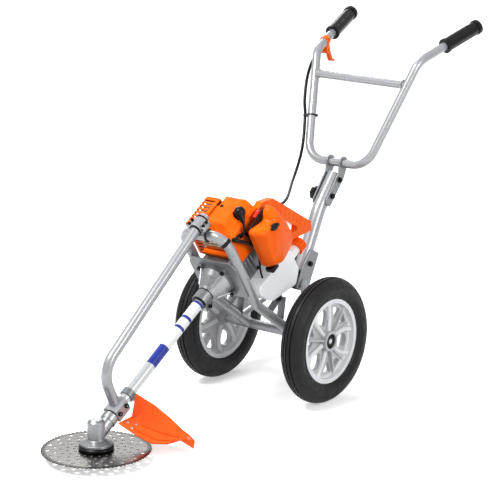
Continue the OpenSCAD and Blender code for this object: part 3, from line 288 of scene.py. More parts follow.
def by_radius(tree, shader, spot, centre, plane, start_mm, end_mm, inner, outer):
    """Colours a round piece: inner near its axis, outer beyond it, and a soft step between two radii."""
    off_axis = add(tree, "ShaderNodeVectorMath", {0: spot, 1: centre}, operation="SUBTRACT")
    across = add(tree, "ShaderNodeVectorMath", {0: off_axis.outputs["Vector"], 1: plane}, operation="MULTIPLY")
    radius = add(tree, "ShaderNodeVectorMath", {0: across.outputs["Vector"]}, operation="LENGTH")
    step = {"Value": radius.outputs["Value"], "From Min": start_mm * MM, "From Max": end_mm * MM}
    past = add(tree, "ShaderNodeMapRange", step)
    shade = add(tree, "ShaderNodeMix", {"Factor": past.outputs["Result"], 6: inner, 7: outer}, data_type="RGBA")
    tree.links.new(shade.outputs[2], shader.inputs["Base Color"])


def saw_steel():
    material, tree, shader, spot = new_material("Ground saw steel", "#8d8b87", Metallic=1.0, Roughness=0.2)
    ground = mottle(tree, shader, spot, 9, "#767472", "#807e7b", 3)
    centre, edge = machine(0, BLADE_Y, 20), colour("#3b3a38")
    by_radius(tree, shader, spot, centre, (1, 1, 1), 115, 120, ground.outputs["Color"], edge)
    return material


blade_grey = saw_steel()
print("metals:", cast_alloy.name, "/", blade_grey.name)

# %% [markdown]
# Covers are moulded plastic: the orange ones are glossy with a faint ripple, the black ones are matt
# with a leathery grain. The tank is milky polyethylene: light goes in and comes out again, and a faint glow
# is painted light that brightens the whole tank, its shaded sides too.

# %% Plastics and rubber
def plastic(name, dark, light, grain_mm, height_mm, low, high, shine=0.3, **sockets):
    material, tree, shader, spot = new_material(name, light, IOR=1.53, Specular_IOR_Level=shine, **sockets)
    mottle(tree, shader, spot, 25, dark, light, 2)
    roughen(tree, shader, spot, grain_mm, height_mm, low, high)
    return material


orange_abs = plastic("Orange ABS, moulded", "#fb5f0a", "#ff6c12", 3, 0.006, 0.18, 0.26, 0.08)
guard_orange = plastic("Orange paint on pressed steel", "#f4500a", "#fd5c10", 2, 0.004, 0.1, 0.16, 0.22)
black_abs = plastic("Black ABS, grained", "#0b0b0c", "#121213", 0.8, 0.03, 0.34, 0.46, 0.15)
grip_rubber = plastic("Black PVC grip", "#08080a", "#0e0e0f", 1.2, 0.03, 0.25, 0.36, 0.18)
hose_rubber = plastic("Black rubber hose", "#08080a", "#0f0f10", 1.0, 0.02, 0.25, 0.38, 0.15)
choke_red = plastic("Red ABS, moulded", "#bd1f16", "#cc2a1e", 2, 0.01, 0.25, 0.35)
plug_ceramic = plastic("Glazed ceramic", "#efeee9", "#f7f6f2", 2, 0.004, 0.1, 0.2)
rim_nylon = plastic("Pale grey nylon, moulded", "#dfe1e4", "#eceef0", 1.2, 0.015, 0.3, 0.42)


def painted_shade_rim():
    """The rim's nylon with painted shade: the web inside the rim's wall is darker, as in the rim's shade, and
    the rim's edge stays pale.
    """
    sockets = {"IOR": 1.53, "Specular_IOR_Level": 0.3}
    material, tree, shader, spot = new_material("Pale grey nylon, painted shade on web", "#eceef0", **sockets)
    pale = mottle(tree, shader, spot, 25, "#dfe1e4", "#eceef0", 2)
    roughen(tree, shader, spot, 1.2, 0.015, 0.3, 0.42)
    # Painted shade: a darker grey inside the rim's wall, where the web lies in the rim's shade.
    axle, painted_shade = machine(0, 0, AXLE_Z), colour("#b8b9bd")
    by_radius(tree, shader, spot, axle, (0, 1, 1), 84, 94, painted_shade, pale.outputs["Color"])
    return material


rim_painted_shade = painted_shade_rim()
# The faint emission is painted light: it brightens the whole tank, its shaded sides too.
tank_poly = plastic("Milky polyethylene", "#f4f6f8", "#fcfdfe", 2, 0.006, 0.26, 0.38,
                    Subsurface_Weight=0.6, Subsurface_Scale=0.025, Subsurface_Radius=(1, 1, 1),
                    Emission_Color=colour("#f4f8ff"), Emission_Strength=0.1)
sleeve_white = plastic("White vinyl sleeve", "#eceeef", "#f6f7f7", 2, 0.004, 0.25, 0.35)
sleeve_blue = plastic("Blue vinyl band", "#1c2f8f", "#24399f", 2, 0.004, 0.25, 0.35)
tyre_rubber = plastic("Tyre rubber", "#0c0c0d", "#141415", 1.0, 0.04, 0.45, 0.62, 0.2)
print("materials so far:", len(bpy.data.materials))

# %% [markdown]
# Every solid gets one finish. What is left without one is printed, so that nothing is forgotten.

# %% Give every solid its finish
FINISH = {
    tube_silver: "axle_tube engine_hoop rear_column rear_struts guard_tube handlebar upper_clamp lower_clamp",
    plate_grey: "engine_plate tank_brackets column_foot bar_plates guard_bracket",
    shaft_silver: "drive_tube",
    cast_alloy: "clutch_housing gearbox_housing crankcase engine_cylinder carburettor",
    cup_alloy: "support_cup",
    blade_grey: "saw_blade",
    bolt_steel: "axle_rod drive_shaft clutch_drum crankshaft head_bearings bevel_pinion bevel_gear blade_arbor "
                "blade_nut",
    muffler_tin: "muffler",
    rim_painted_shade: "left_rim right_rim",
    tyre_rubber: "left_tyre right_tyre",
    orange_abs: "cylinder_cowl muffler_guard filter_cover starter_housing rear_loop fuel_cap throttle_body "
                "throttle_lever",
    guard_orange: "blade_guard",
    black_abs: "filter_base filter_knob star_knob starter_grip shaft_bushes",
    grip_rubber: "left_grip right_grip",
    hose_rubber: "tank_pads plug_boot plug_lead throttle_cable",
    choke_red: "choke_lever",
    black_oxide: "blade_adapter frame_fasteners",
    tank_poly: "fuel_tank",
    plug_ceramic: "spark_plug",
}
finished = set()
for material, names in FINISH.items():
    for name in names.split():
        solid = frame["nodes"][name]
        solid.data.materials.clear()
        solid.data.materials.append(material)
        finished.add(name)
print("solids without a finish:", sorted(set(frame["nodes"]) - finished))

# %% [markdown]
# ## Helpers for new pieces
# A small part is easiest to model upright at the origin. It is then stood along its real axis and carried
# to its place, and the object itself stays at the origin. Every piece rides on the body that carries it.

# %% Carrying pieces to their places
BODY_OF = {node: body for body, nodes in frame["record"]["behaviour"]["bodies"].items() for node in nodes}


def piece(name, mesh, finishes, body, crisp=32, outward=True):
    """Makes a bmesh an object on a body. Edges sharper than crisp degrees stay sharp to the eye."""
    if outward:
        bmesh.ops.recalc_face_normals(mesh, faces=mesh.faces)
    data = bpy.data.meshes.new(name)
    mesh.to_mesh(data)
    mesh.free()
    data.shade_smooth()
    data.set_sharp_from_angle(angle=math.radians(crisp))
    for finish in finishes:
        data.materials.append(finish)
    made = bpy.data.objects.new(name, data)
    scene.collection.objects.link(made)
    if body:
        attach(made, body)
    return made


def stand(mesh, place, axis, verts=None):
    """Turns what was modelled along z so that it runs along axis, and moves it to place."""
    turn = Vector((0, 0, 1)).rotation_difference(Vector(axis)).to_matrix().to_4x4()
    bmesh.ops.transform(mesh, matrix=Matrix.Translation(place) @ turn, verts=verts or mesh.verts)


def turned(mesh, profile, place, axis, steps=48):
    """Spins a closed outline of (radius, height) in millimetres about z, as on a lathe, and stands it up."""
    rim = [mesh.verts.new(Vector((r, 0, h)) * MM) for r, h in profile]
    outline = [mesh.edges.new((rim[i - 1], rim[i])) for i in range(len(rim))]
    before = set(mesh.verts) - set(rim)
    bmesh.ops.spin(mesh, geom=rim + outline, axis=(0, 0, 1), angle=math.tau, steps=steps, use_merge=True)
    fresh = [v for v in mesh.verts if v not in before]
    stand(mesh, place, axis, fresh)
    bmesh.ops.remove_doubles(mesh, verts=fresh, dist=1e-6)


def cap_screw(mesh, place, axis, radius, height):
    """A socket screw's head: a round head with a rounded edge and a socket sunk in its top."""
    r, h, s, floor_h, edge = radius, height, radius * 0.52, height * 0.45, 0.8
    head = [(0, 0), (r, 0), (r, h - edge), (r - edge, h), (s, h), (s * 0.9, floor_h), (0, floor_h)]
    turned(mesh, head, place, axis, 24)


def block(mesh, place, size_mm):
    """A box with its sides along the engine's x, u and v."""
    corners = bmesh.ops.create_cube(mesh, size=1)["verts"]
    spot = Matrix.Translation(place) @ Matrix.Rotation(LEAN, 4, "X")
    bmesh.ops.transform(mesh, matrix=spot @ Matrix.Diagonal((*(Vector(size_mm) * MM), 1)), verts=corners)


def eased(mesh, width_mm, segments=3):
    """Rounds all edges of a plain shape."""
    bmesh.ops.bevel(mesh, geom=mesh.edges[:], offset=width_mm * MM, affect="EDGES", segments=segments,
                    profile=0.5, material=-1)


def turned_piece(name, profile, place, axis, finish, body):
    """A piece that is one lathe turning."""
    mesh = bmesh.new()
    turned(mesh, profile, place, axis)
    piece(name, mesh, [finish], body)


def block_piece(name, blocks, width_mm, finish, body="frame"):
    """A piece of boxes on the engine, each given by its place and its size, with all edges rounded."""
    mesh = bmesh.new()
    for place, size_mm in blocks:
        block(mesh, engine(*place), size_mm)
    eased(mesh, width_mm)
    piece(name, mesh, [finish], body)


print("bodies that carry pieces:", ", ".join(sorted(set(BODY_OF.values()))))

# %% [markdown]
# A hose follows a smooth line through a few stops, and a round bevel along that line gives its wall.

# %% Routes and hoses
def smooth_route(stops, steps=10):
    """Points of one smooth line through the stops."""
    last = len(stops) - 1
    heading = [(stops[min(i + 1, last)] - stops[max(i - 1, 0)]).normalized() for i in range(last + 1)]
    line = [stops[0]]
    for i in range(last):
        a, b = stops[i], stops[i + 1]
        reach = (b - a).length / 3
        line += interpolate_bezier(a, a + heading[i] * reach, b - heading[i + 1] * reach, b, steps + 1)[1:]
    return line


def swept(line, diameter_mm, round_steps=4):
    """A closed tube along a line of points."""
    curve = bpy.data.curves.new("route", "CURVE")
    curve.dimensions = "3D"
    curve.bevel_depth = diameter_mm * MM / 2
    curve.bevel_resolution = round_steps
    curve.use_fill_caps = True
    spline = curve.splines.new("POLY")
    spline.points.add(len(line) - 1)
    for point, spot in zip(spline.points, line):
        point.co = (*spot, 1)
    guide = bpy.data.objects.new("route", curve)
    scene.collection.objects.link(guide)
    data = bpy.data.meshes.new_from_object(guide.evaluated_get(bpy.context.evaluated_depsgraph_get()))
    mesh = bmesh.new()
    mesh.from_mesh(data)
    bmesh.ops.remove_doubles(mesh, verts=mesh.verts, dist=1e-6)
    bpy.data.objects.remove(guide)
    bpy.data.curves.remove(curve)
    bpy.data.meshes.remove(data)
    return mesh


def merged(meshes):
    """Several shapes as one bmesh."""
    whole = bmesh.new()
    for mesh in meshes:
        data = bpy.data.meshes.new("part")
        mesh.to_mesh(data)
        mesh.free()
        whole.from_mesh(data)
        bpy.data.meshes.remove(data)
    return whole


def run_of(line):
    return sum((b - a).length for a, b in zip(line, line[1:]))


print("helpers for routes and hoses made")

# %% [markdown]
# ## Soft edges
# Moulded, cast and folded parts have no knife edges: a small radius catches the light along every corner.
# A copy of each such solid is merged, its flat faces are joined up, and its sharp edges are bevelled. If a
# bevel folds faces over or throws one off the solid's surface, a narrower one is made. A solid that takes
# none of them stays as it is.

# %% Round the edges of moulded, cast and folded parts
SOFT_EDGE_MM = {
    2.4: "fuel_tank",
    1.5: "cylinder_cowl crankcase star_knob starter_grip",
    1.2: "filter_base carburettor lower_clamp left_grip right_grip",
    0.9: "rear_loop muffler_guard starter_housing clutch_housing gearbox_housing support_cup blade_adapter "
         "upper_clamp engine_plate column_foot bar_plates tank_brackets filter_knob",
    0.6: "blade_guard throttle_lever throttle_body choke_lever fuel_cap",
}
SHARP, FLAT, SAME_SPOT = math.radians(38), math.radians(0.6), 2e-6


def area_of(mesh):
    return sum(face.calc_area() for face in mesh.faces)


def strays(mesh, surface):
    """How far the middle of a face or of an edge lies from the solid's own surface, at most."""
    spots = [face.calc_center_median() for face in mesh.faces]
    spots += [(edge.verts[0].co + edge.verts[1].co) / 2 for edge in mesh.edges]
    return max(surface.find_nearest(spot)[3] for spot in spots)


def bevelled(solid, width_mm):
    """A copy of a solid with round edges, or nothing if a face folds over or strays."""
    mesh = bmesh.new()
    mesh.from_mesh(solid.data)
    surface, area = BVHTree.FromBMesh(mesh), area_of(mesh)
    bmesh.ops.remove_doubles(mesh, verts=mesh.verts, dist=SAME_SPOT)
    bmesh.ops.dissolve_limit(mesh, angle_limit=FLAT, verts=mesh.verts, edges=mesh.edges)
    sharp = [e for e in mesh.edges if len(e.link_faces) == 2 and e.calc_face_angle(0) > SHARP]
    bmesh.ops.bevel(mesh, geom=sharp, offset=width_mm * MM, affect="EDGES", segments=3,
                    profile=0.5, material=-1)
    bmesh.ops.remove_doubles(mesh, verts=mesh.verts, dist=SAME_SPOT)
    many_sided = [f for f in mesh.faces if len(f.verts) > 4]
    bmesh.ops.triangulate(mesh, faces=many_sided, ngon_method="BEAUTY")
    if strays(mesh, surface) < (width_mm + 0.2) * MM and area_of(mesh) < area * 1.01:
        return mesh
    mesh.free()
    return None


def softened(node, width_mm):
    """Puts a copy with round edges in a solid's place and returns the width that its edges took."""
    solid = frame["nodes"][node]
    for width in (width_mm, width_mm * 0.6, width_mm * 0.3):
        mesh = bevelled(solid, width)
        if mesh:
            made = piece(node + "_soft", mesh, [solid.data.materials[0]], BODY_OF[node], outward=False)
            made.modifiers.new("even shading", "WEIGHTED_NORMAL").keep_sharp = True
            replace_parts(made, node)
            return width
    return 0


widths = {node: softened(node, mm) for mm, nodes in SOFT_EDGE_MM.items() for node in nodes.split()}
print("soft edges in millimetres:", {node: round(mm, 2) for node, mm in widths.items()})

# %% [markdown]
# ## Filter cover and plug boot
# The filter's cover is a pillow with a notch at its top. Its outline shrinks from the wide base to the
# smaller outer face, along a curve that is nearly a chamfer with soft ends, and every ring of the wall is one
# blend of the two outlines.

# %% Filter cover
COVER_BASE = [(156, 90), (216, 71), (224, 90), (247, 97), (270, 20), (250, -34), (186, -48), (152, -26)]
COVER_FACE = [(177, 71), (212, 62), (224, 66), (242, 60), (253, 4), (239, -26), (190, -37), (163, -15)]
COVER_BACK, COVER_WALL, COVER_FRONT = 70.1, 80, 103.9
COVER_BEND, COVER_STEPS = 1.35, 12


def rounded_outline(corners, reach, steps=7):
    """Points round a polygon whose corners are replaced by curves that start reach away from them."""
    ring = []
    for before, corner, after in zip(corners[-1:] + corners[:-1], corners, corners[1:] + corners[:1]):
        start = corner + (before - corner).normalized() * min(reach, (before - corner).length * 0.45)
        end = corner + (after - corner).normalized() * min(reach, (after - corner).length * 0.45)
        for t in (i / steps for i in range(steps + 1)):
            ring.append(start * (1 - t) ** 2 + corner * 2 * t * (1 - t) + end * t ** 2)
    return ring


def skin(mesh, rings):
    """Joins closed rings of as many points each with quads, and closes both ends."""
    rows = [[mesh.verts.new(spot) for spot in ring] for ring in rings]
    for low, high in zip(rows, rows[1:]):
        for i in range(len(low)):
            mesh.faces.new((low[i - 1], low[i], high[i], high[i - 1]))
    for end in (rows[0], rows[-1]):
        bmesh.ops.triangulate(mesh, faces=[mesh.faces.new(end)])


def cover_ring(t, x):
    """The cover's outline at x, from its base at t = 0 to its face at t = 1."""
    corners = [Vector(a).lerp(Vector(b), t) for a, b in zip(COVER_BASE, COVER_FACE)]
    return [engine(x, q.x, q.y) for q in rounded_outline(corners, 15 - 3 * t)]


cover = bmesh.new()
cover_rings = [cover_ring(0, COVER_BACK)]
for i in range(COVER_STEPS + 1):
    a = math.radians(90 * i / COVER_STEPS)
    shrink, rise = 1 - math.cos(a) ** (2 / COVER_BEND), math.sin(a) ** (2 / COVER_BEND)
    cover_rings.append(cover_ring(shrink, COVER_WALL + (COVER_FRONT - COVER_WALL) * rise))
skin(cover, cover_rings)
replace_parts(piece("filter_pillow", cover, [orange_abs], "frame", 50), "filter_cover")
print("filter cover of", len(cover_rings), "rings")

# %% [markdown]
# The plug's boot is a rubber ball that leans out of the cowl, with a tapered neck for its lead. The red
# choke lever gets a broad tab, so that a thumb finds it beside the cover.

# %% Plug boot and choke tab
PLUG_LEAN, BALL_R, BALL_H = math.radians(35), 14.3, 18.5
LEAD_STOPS = [(50.5, 173, 104), (54, 166, 93), (55.5, 160, 85), (54.5, 154, 79), (51, 149, 75),
              (46.1, 145.5, 73)]
plug_foot = engine(27, 187, 103)
plug_axis = ACROSS * math.sin(PLUG_LEAN) + OFF_TUBE * math.cos(PLUG_LEAN)
ball_centre = plug_foot + plug_axis * BALL_H * MM
neck = engine(*LEAD_STOPS[0]) - ball_centre
reach = neck.length / MM
boot = bmesh.new()
turns = [math.radians(-40 + 13 * i) for i in range(11)]
ball = [(BALL_R * math.cos(a), BALL_H + BALL_R * math.sin(a)) for a in turns]
cone = [(0, 0), (9.5, 0), (9, reach * 0.5), (5.4, reach), (4.6, reach + 4), (0, reach + 4)]
turned(boot, [(0, 3.2), (10.9, 3.2)] + ball, plug_foot, plug_axis, 40)
turned(boot, cone, ball_centre, neck, 32)
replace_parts(piece("boot_with_neck", boot, [hose_rubber], "frame"), "plug_boot")
block_piece("choke_tab", [((60, 213, 86), (10, 26, 19))], 2.5, choke_red, BODY_OF["choke_lever"])
print("boot, neck and choke tab")

# %% [markdown]
# Low on the cowl's front a bare heat shield covers the exhaust, above an orange lip, and a seam closes the
# gap to the muffler's guard. Ribs stiffen the crankcase, the cowl's side and the clutch housing's cone, and
# the filter's black foot shows under its cover.

# %% Heat shield, lip, filter foot and ribs
SEAM_OUTLINE = [(118, 50), (197, 50), (197, 118), (141, 118), (118, 79)]
block_piece("heat_shield", [((-5, 114, 64), (80, 4, 24)), ((-5, 111.8, 65), (74, 3, 7))], 1.2, muffler_tin)
block_piece("cowl_lip", [((-2, 106, 47.3), (92, 16, 10))], 3, orange_abs)
seam = bmesh.new()
seam_ring = rounded_outline([Vector(q) for q in SEAM_OUTLINE], 5)
skin(seam, [[engine(x, q.x, q.y) for q in seam_ring] for x in (-38, -29)])
piece("cowl_seam", seam, [orange_abs], "frame")
block_piece("filter_foot", [((82, 170, -41), (24, 28, 14))], 4, hose_rubber)
case_ribs = [((43, 104 + 13 * k, -16), (4.5, 4, 46)) for k in range(5)]
block_piece("crankcase_ribs", case_ribs, 1.2, cast_alloy)
cowl_fins = [((46.5, 136 + 9 * k, 78 - 3 * k), (4, 4, 20)) for k in range(4)]
block_piece("cowl_fins", cowl_fins, 1.2, orange_abs)


def rib_spot(turn, u, radius):
    """A point on the clutch housing's cone."""
    return engine(radius * math.cos(turn), u, radius * math.sin(turn))


CONE_RIB = ((25, 26), (40, 34), (55, 42.5), (67, 49.5))
for k in range(4):
    turn = math.radians(43 + 90 * k)
    rib = swept([rib_spot(turn, u, r) for u, r in CONE_RIB], 7)
    piece(f"housing_rib_{k + 1}", rib, [cast_alloy], "frame", 60)
print("front of the engine dressed")

# %% [markdown]
# ## Cords
# The throttle cable leaves the lever's body, follows the handlebar's left tube and goes into the back of
# the cowl. It crosses the handlebar's tilt hinge, so it is carried by no body.

# %% Throttle cable
CABLE_D = 8
TIED = (-131.5, 311, 634)
BAR_STOPS = [(-172.8, 434.4, 779.4), (-176, 405, 764), (-168, 368, 722), (-152, 336, 668), TIED]
FREE_STOPS = [(-104, 262, 556), (-62, 168, 497)]
ENGINE_STOPS = [(20, 340, 2), (16, 292, 50), (14, 262, 62), (14, 232.1, 62)]
cable_stops = [machine(*p) for p in BAR_STOPS + FREE_STOPS] + [engine(*p) for p in ENGINE_STOPS]
cable_line = smooth_route(cable_stops)
throttle_cord = piece("throttle_cord", swept(cable_line, CABLE_D), [hose_rubber], None)
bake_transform(throttle_cord)
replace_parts(throttle_cord, "throttle_cable")
print("throttle cable", round(run_of(cable_line), 3), "m")

# %% [markdown]
# The spark plug's lead drops from its boot to the cowl's side, and two thicker hoses run from the cowl down
# to the carburettor's side. A thin fuel line comes up from the tank.

# %% Plug lead and engine hoses
BREATHER_STOPS = [(46.1, 121, 90), (55, 127, 83), (61, 142, 65), (61, 158, 42), (57, 170, 25), (56, 174.2, 18)]
INTAKE_STOPS = [(46.1, 127, 84), (50.4, 134, 85), (50.6, 147, 82), (50.4, 162, 72), (50.2, 171, 56),
                (50.2, 174.1, 36)]
FUEL_STOPS = [(56, 150, -64), (57, 152, -46), (57, 160, -24), (56, 172, -6), (55, 186, 4)]


def engine_cord(name, stops, diameter_mm, replaced=None):
    """A lead or hose through stops on the engine."""
    line = smooth_route([engine(*p) for p in stops])
    made = piece(name, swept(line, diameter_mm), [hose_rubber], "frame")
    if replaced:
        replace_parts(made, replaced)
    print(name, round(run_of(line), 3), "m")


engine_cord("plug_cord", LEAD_STOPS, 6, "plug_lead")
engine_cord("breather_hose", BREATHER_STOPS, 9)
engine_cord("intake_hose", INTAKE_STOPS, 8)
engine_cord("fuel_line", FUEL_STOPS, 5)

# %% [markdown]
# ## Wheels
# Each side of a tyre carries three fine moulded rings, spun as on a lathe. On each side of the web six
# rounded arms run from the hub to the rim, and the hub's well holds a black seal round the capped axle nut.

# %% Wheel details
WHEEL_X, TYRE_R, TYRE_HALF = 166.5, 157.5, 30
RING_RADII = (113, 119.5, 141)
ARM_STOPS = ((22, 0, 8), (44, 0.5, 6.5), (70, 3, 5.5), (97, 9, 7))
NUT_CAP = [(10.3, 9.5), (12.5, 9.5), (12.5, 17.4), (11.6, 18.3), (6.6, 18.3), (6.6, 17.4), (10.3, 17.4)]
HUB_SEAL = [(13.6, 7.2), (18.8, 7.2), (18.8, 17), (17.4, 18), (16.6, 16.6), (15.4, 16.6), (14.8, 15),
            (13.6, 15)]


def sidewall(radius):
    """How far the tyre's side stands out at a radius."""
    return math.sqrt(TYRE_HALF ** 2 - (radius - TYRE_R + TYRE_HALF) ** 2)


def arm_line(angle, tilt, face):
    """A spoke's ridge in the wheel's own plane: it leaves the hub straight and bends towards the rim."""
    stops = []
    for radius, bend, height in ARM_STOPS:
        turn = math.radians(angle + tilt * bend)
        stops.append(Vector((radius * math.cos(turn), radius * math.sin(turn), face * height)) * MM)
    return smooth_route(stops, 5)


def wheel_details(side, body):
    """Rings, arms, nut cap and seal of the wheel on one side."""
    centre, out = machine(side * WHEEL_X, 0, AXLE_Z), ACROSS * side
    rings = bmesh.new()
    for radius in RING_RADII:
        for face in (1, -1):
            foot, top = (face * sidewall(radius) + face * step for step in (-1.6, 0.7))
            bead = [(radius - 1.4, foot), (radius - 0.7, top), (radius + 0.7, top), (radius + 1.4, foot)]
            turned(rings, bead, centre, out, 96)
    piece(body + "_tyre_rings", rings, [tyre_rubber], body)
    arms = [swept(arm_line(120 * k + tilt * 33 + side * 16, tilt, face), 11.5, 5)
            for k in range(3) for tilt in (-1, 1) for face in (1, -1)]
    spokes = merged(arms)
    stand(spokes, centre, out)
    piece(body + "_arms", spokes, [rim_nylon], body, 60)
    turned_piece(body + "_nut_cap", NUT_CAP, centre, out, black_abs, "frame")
    turned_piece(body + "_hub_seal", HUB_SEAL, centre, out, black_abs, body)


wheel_details(1, "right_wheel")
wheel_details(-1, "left_wheel")
print("rings on each tyre:", 2 * len(RING_RADII))

# %% [markdown]
# ## Frame hardware
# Clamps on tubes have black rubber liners that show as rings at their ends, and black socket screws in
# their ears.

# %% Clamps
HOOP_U, HOOP_V, GUARD_V, TUBE_R, DRIVE_R = 86.6, 131, 160.5, 12.5, 13
LOWER_CLAMP_U = -366


def collar(inner, edge, outer, half, flat_half):
    """The outline of a ring with chamfered edges."""
    return [(inner, -half), (edge, -half), (outer, -flat_half), (outer, flat_half), (edge, half), (inner, half)]


def ring_on(radius, spots):
    """An outline whose radii are counted from a tube's own radius."""
    return [(radius + r, h) for r, h in spots]


liners = bmesh.new()
liner = collar(TUBE_R + 0.1, TUBE_R + 2.9, TUBE_R + 3.6, 1.5, 0.6)
for side in (-1, 1):
    turned(liners, liner, engine(side * 16.6, HOOP_U, HOOP_V), ACROSS)
    place = engine(0, HOOP_U + side * 16.6, GUARD_V + side * 1.8)
    turned(liners, [(r + 0.6, h) for r, h in liner], place, UP_TUBE)
sleeve_end = ring_on(DRIVE_R, [(0.1, -3), (5, -3), (6, -2), (6, 0), (0.1, 0)])
turned(liners, sleeve_end, engine(0, -14, 0), UP_TUBE)
sealing_ring = ring_on(DRIVE_R, [(6.5, 0), (7.8, 0.5), (7.8, 2.5), (6.5, 3)])
turned(liners, sealing_ring, engine(0, 12.5, 0), UP_TUBE)
piece("clamp_liners", liners, [hose_rubber], "frame")

ears = [((side * 20.5, HOOP_U, GUARD_V), (13, 26, 13)) for side in (-1, 1)]
block_piece("clamp_ears", ears, 2, cast_alloy)
screws = bmesh.new()
for side in (-1, 1):
    for step in (-6.5, 6.5):
        cap_screw(screws, engine(side * 21.5, HOOP_U + step, GUARD_V + 6.4), OFF_TUBE, 4, 4.5)
        cap_screw(screws, engine(side * 19, LOWER_CLAMP_U + step * 2, 2), ACROSS * side, 5.6, 5.5)
    cap_screw(screws, engine(side * 12, 0, -24), ACROSS * side, 5, 5)
for u, v in ((96, 22), (96, -40), (160, -42), (200, -44)):
    cap_screw(screws, engine(42, u, v), ACROSS, 4.5, 4.5)
piece("clamp_screws", screws, [black_oxide], "frame")
print("socket screws and ears on the clamps")

# %% [markdown]
# A rubber band sits in the hoop's bend, a nylon tie holds the cable to the bar, and a plain white sleeve with
# blue bands wraps the drive tube.

# %% Hoop band, cable tie and sleeve
BEND_R, BEND_X, BEND_V = 38, 29, 93
bend = math.radians(33)
band_place = engine(BEND_X + BEND_R * math.cos(bend), HOOP_U, BEND_V + BEND_R * math.sin(bend))
band_axis = OFF_TUBE * math.cos(bend) - ACROSS * math.sin(bend)
band = collar(TUBE_R + 0.1, TUBE_R + 1.2, TUBE_R + 1.8, 4.5, 3.5)
turned_piece("hoop_band", band, band_place, band_axis, hose_rubber, "frame")


def cable_tie():
    """A nylon tie drawn tight round the left tube and the cable: the hull of two discs, with a small head."""
    tube, cable = machine(-117.2, 320.6, 634), machine(*TIED)
    run = (machine(-158.9, 397.9, 793) - machine(-91, 272, 534)).normalized()
    tie = bmesh.new()
    for centre, radius in ((tube, 12), (cable, 5)):
        for step in (-2.2, 2.2):
            disc = bmesh.ops.create_circle(tie, segments=28, radius=radius * MM)["verts"]
            stand(tie, centre + run * step * MM, run, disc)
    loose = bmesh.ops.convex_hull(tie, input=tie.verts[:])["geom_interior"]
    inner = [v for v in loose if isinstance(v, bmesh.types.BMVert)]
    bmesh.ops.delete(tie, geom=inner, context="VERTS")
    head = bmesh.ops.create_cube(tie, size=1)["verts"]
    bmesh.ops.scale(tie, vec=(0.006, 0.005, 0.0062), verts=head)
    stand(tie, tube + (tube - cable).normalized() * 0.0125, run, head)
    piece("cable_tie", tie, [black_abs], "handlebar")


cable_tie()

LABEL_LOW, LABEL_BANDS = -227, (0, 60, 118, 126, 150, 158, 200, 207)
label, label_foot = bmesh.new(), engine(0, LABEL_LOW, 0)
inside, outside = DRIVE_R + 0.04, DRIVE_R + 0.3
wall = [(inside, 0)] + [(outside, h) for h in LABEL_BANDS] + [(inside, LABEL_BANDS[-1])]
turned(label, wall, label_foot, UP_TUBE, 64)
for face in label.faces:
    height = (face.calc_center_median() - label_foot).dot(UP_TUBE) / MM
    face.material_index = sum(h < height for h in LABEL_BANDS) % 2
piece("tube_sleeve", label, [sleeve_white, sleeve_blue], "frame")
print("band, tie and sleeve made")

# %% [markdown]
# The cross tube is welded to the bars, and each weld is a small rounded fillet.

# %% Weld fillets
FILLET = [(9.9, -5), (10.3, -5), (11, -3), (12.4, -1), (13.6, 1.5), (9.9, 1.5)]
welds = bmesh.new()
for side in (-1, 1):
    turned(welds, FILLET, machine(side * 132, 369.7, 735), ACROSS * side, 40)
piece("cross_tube_welds", welds, [tube_silver], "handlebar", 60)
print("cross tube welded")

# %% [markdown]
# ## Blade guard
# Two pressed ribs stiffen the deflector, a gusset stands between its plate and its wall, and three rivets
# hold it. The plate's long edges and its wall's top are known at a few stations, so a point on it is a blend
# of them.

# %% Ribs, gusset and rivets
GUARD_LOW = [(0, 22, 52, 72), (0.25, 58, 70, 47), (0.5, 92, 87, 29), (0.75, 118, 112, 27),
             (0.9, 136, 137, 33)]
GUARD_FOLD = [(0, 22, 98, 76), (0.9, 139, 156, 36)]
GUARD_TOP = [(0, 22, 113, 128), (0.25, 58, 137, 101), (0.5, 92, 155, 71)]
RIVET, RIVET_AXIS = [(0, -1), (3.6, -1), (3.6, 0.6), (2.6, 1.8), (0, 2.4)], (0.2, -0.25, 0.95)


def edge_at(rows, t):
    """The point at t on an edge that is given by rows of t, x, y and z."""
    a, b = [(a, b) for a, b in zip(rows, rows[1:]) if a[0] <= t <= b[0]][0]
    return Vector(a[1:]).lerp(Vector(b[1:]), (t - a[0]) / (b[0] - a[0]))


def on_plate(t, k, lift=3.0):
    """A point on the guard, k from 0 at its low edge to 1 at the fold and 2 at the wall's top."""
    low, fold = edge_at(GUARD_LOW, t), edge_at(GUARD_FOLD, t)
    spot = low.lerp(fold, k) if k <= 1 else fold.lerp(edge_at(GUARD_TOP, t), k - 1)
    return machine(spot.x, spot.y + BLADE_Y, spot.z + lift)


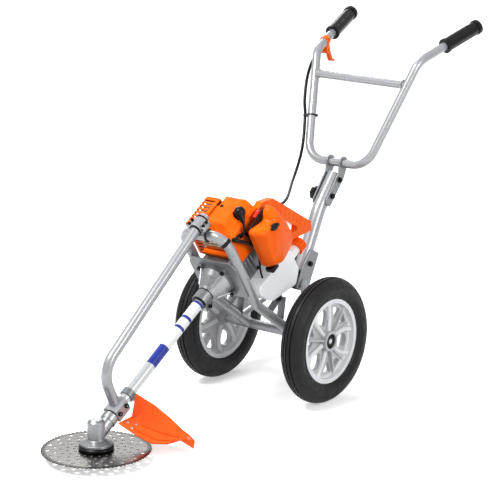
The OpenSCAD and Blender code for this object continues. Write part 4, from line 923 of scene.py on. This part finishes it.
for name, k, t0, t1 in (("guard_rib_high", 0.74, 0.22, 0.8), ("guard_rib_low", 0.3, 0.18, 0.84)):
    stations = [on_plate(t0 + (t1 - t0) * i / 8, k, 2.6) for i in range(9)]
    piece(name, swept(smooth_route(stations, 4), 8, 6), [guard_orange], "frame", 60)
gusset = bmesh.new()
corners = [gusset.verts.new(on_plate(t, k)) for t, k in ((0.07, 0.7), (0.2, 0.86), (0.14, 1.4))]
gusset.faces.new(corners)
gusset.normal_update()
bmesh.ops.solidify(gusset, geom=gusset.faces[:], thickness=3 * MM)
piece("guard_gusset", gusset, [guard_orange], "frame")
rivets = bmesh.new()
for t, k in ((0.16, 0.2), (0.16, 0.55), (0.06, 0.4)):
    turned(rivets, RIVET, on_plate(t, k), RIVET_AXIS, 20)
piece("guard_rivets", rivets, [bolt_steel], "frame")
print("guard stiffened and riveted")

# %% [markdown]
# ## Engine trim
# The starter cover at the back breathes through slots, drawn as dark inlays, and one dark screw holds the
# cowl's top.

# %% Starter slots and cowl screw
CONE_R, CONE_U, CONE_RUN = 54, 254, (20, 18)
SLOT_SIZE, SLOT_LOWEST, SLOT_HIGHEST = (0.017, 0.0045, 0.0014), -46, 38
slots = bmesh.new()
for k in range(8):
    turn = math.radians(108 + 20 * k)
    radial = ACROSS * math.cos(turn) + OFF_TUBE * math.sin(turn)
    slope = (UP_TUBE * CONE_RUN[1] - radial * CONE_RUN[0]).normalized()
    face = (radial * CONE_RUN[1] + UP_TUBE * CONE_RUN[0]).normalized()
    height = CONE_R * math.sin(turn)
    if SLOT_LOWEST < height < SLOT_HIGHEST:
        bar = bmesh.ops.create_cube(slots, size=1)["verts"]
        place = engine(CONE_R * math.cos(turn), CONE_U, height)
        lay = Matrix.Translation(place) @ Matrix((slope, slope.cross(face), face)).transposed().to_4x4()
        bmesh.ops.transform(slots, matrix=lay @ Matrix.Diagonal((*SLOT_SIZE, 1)), verts=bar)
eased(slots, 0.5, 2)
piece("starter_slots", slots, [black_abs], "frame")
cowl_screw = bmesh.new()
cap_screw(cowl_screw, engine(-20.7, 193.7, 119.5), OFF_TUBE, 5, 1.5)
piece("cowl_screw", cowl_screw, [black_oxide], "frame")
print("engine trimmed")
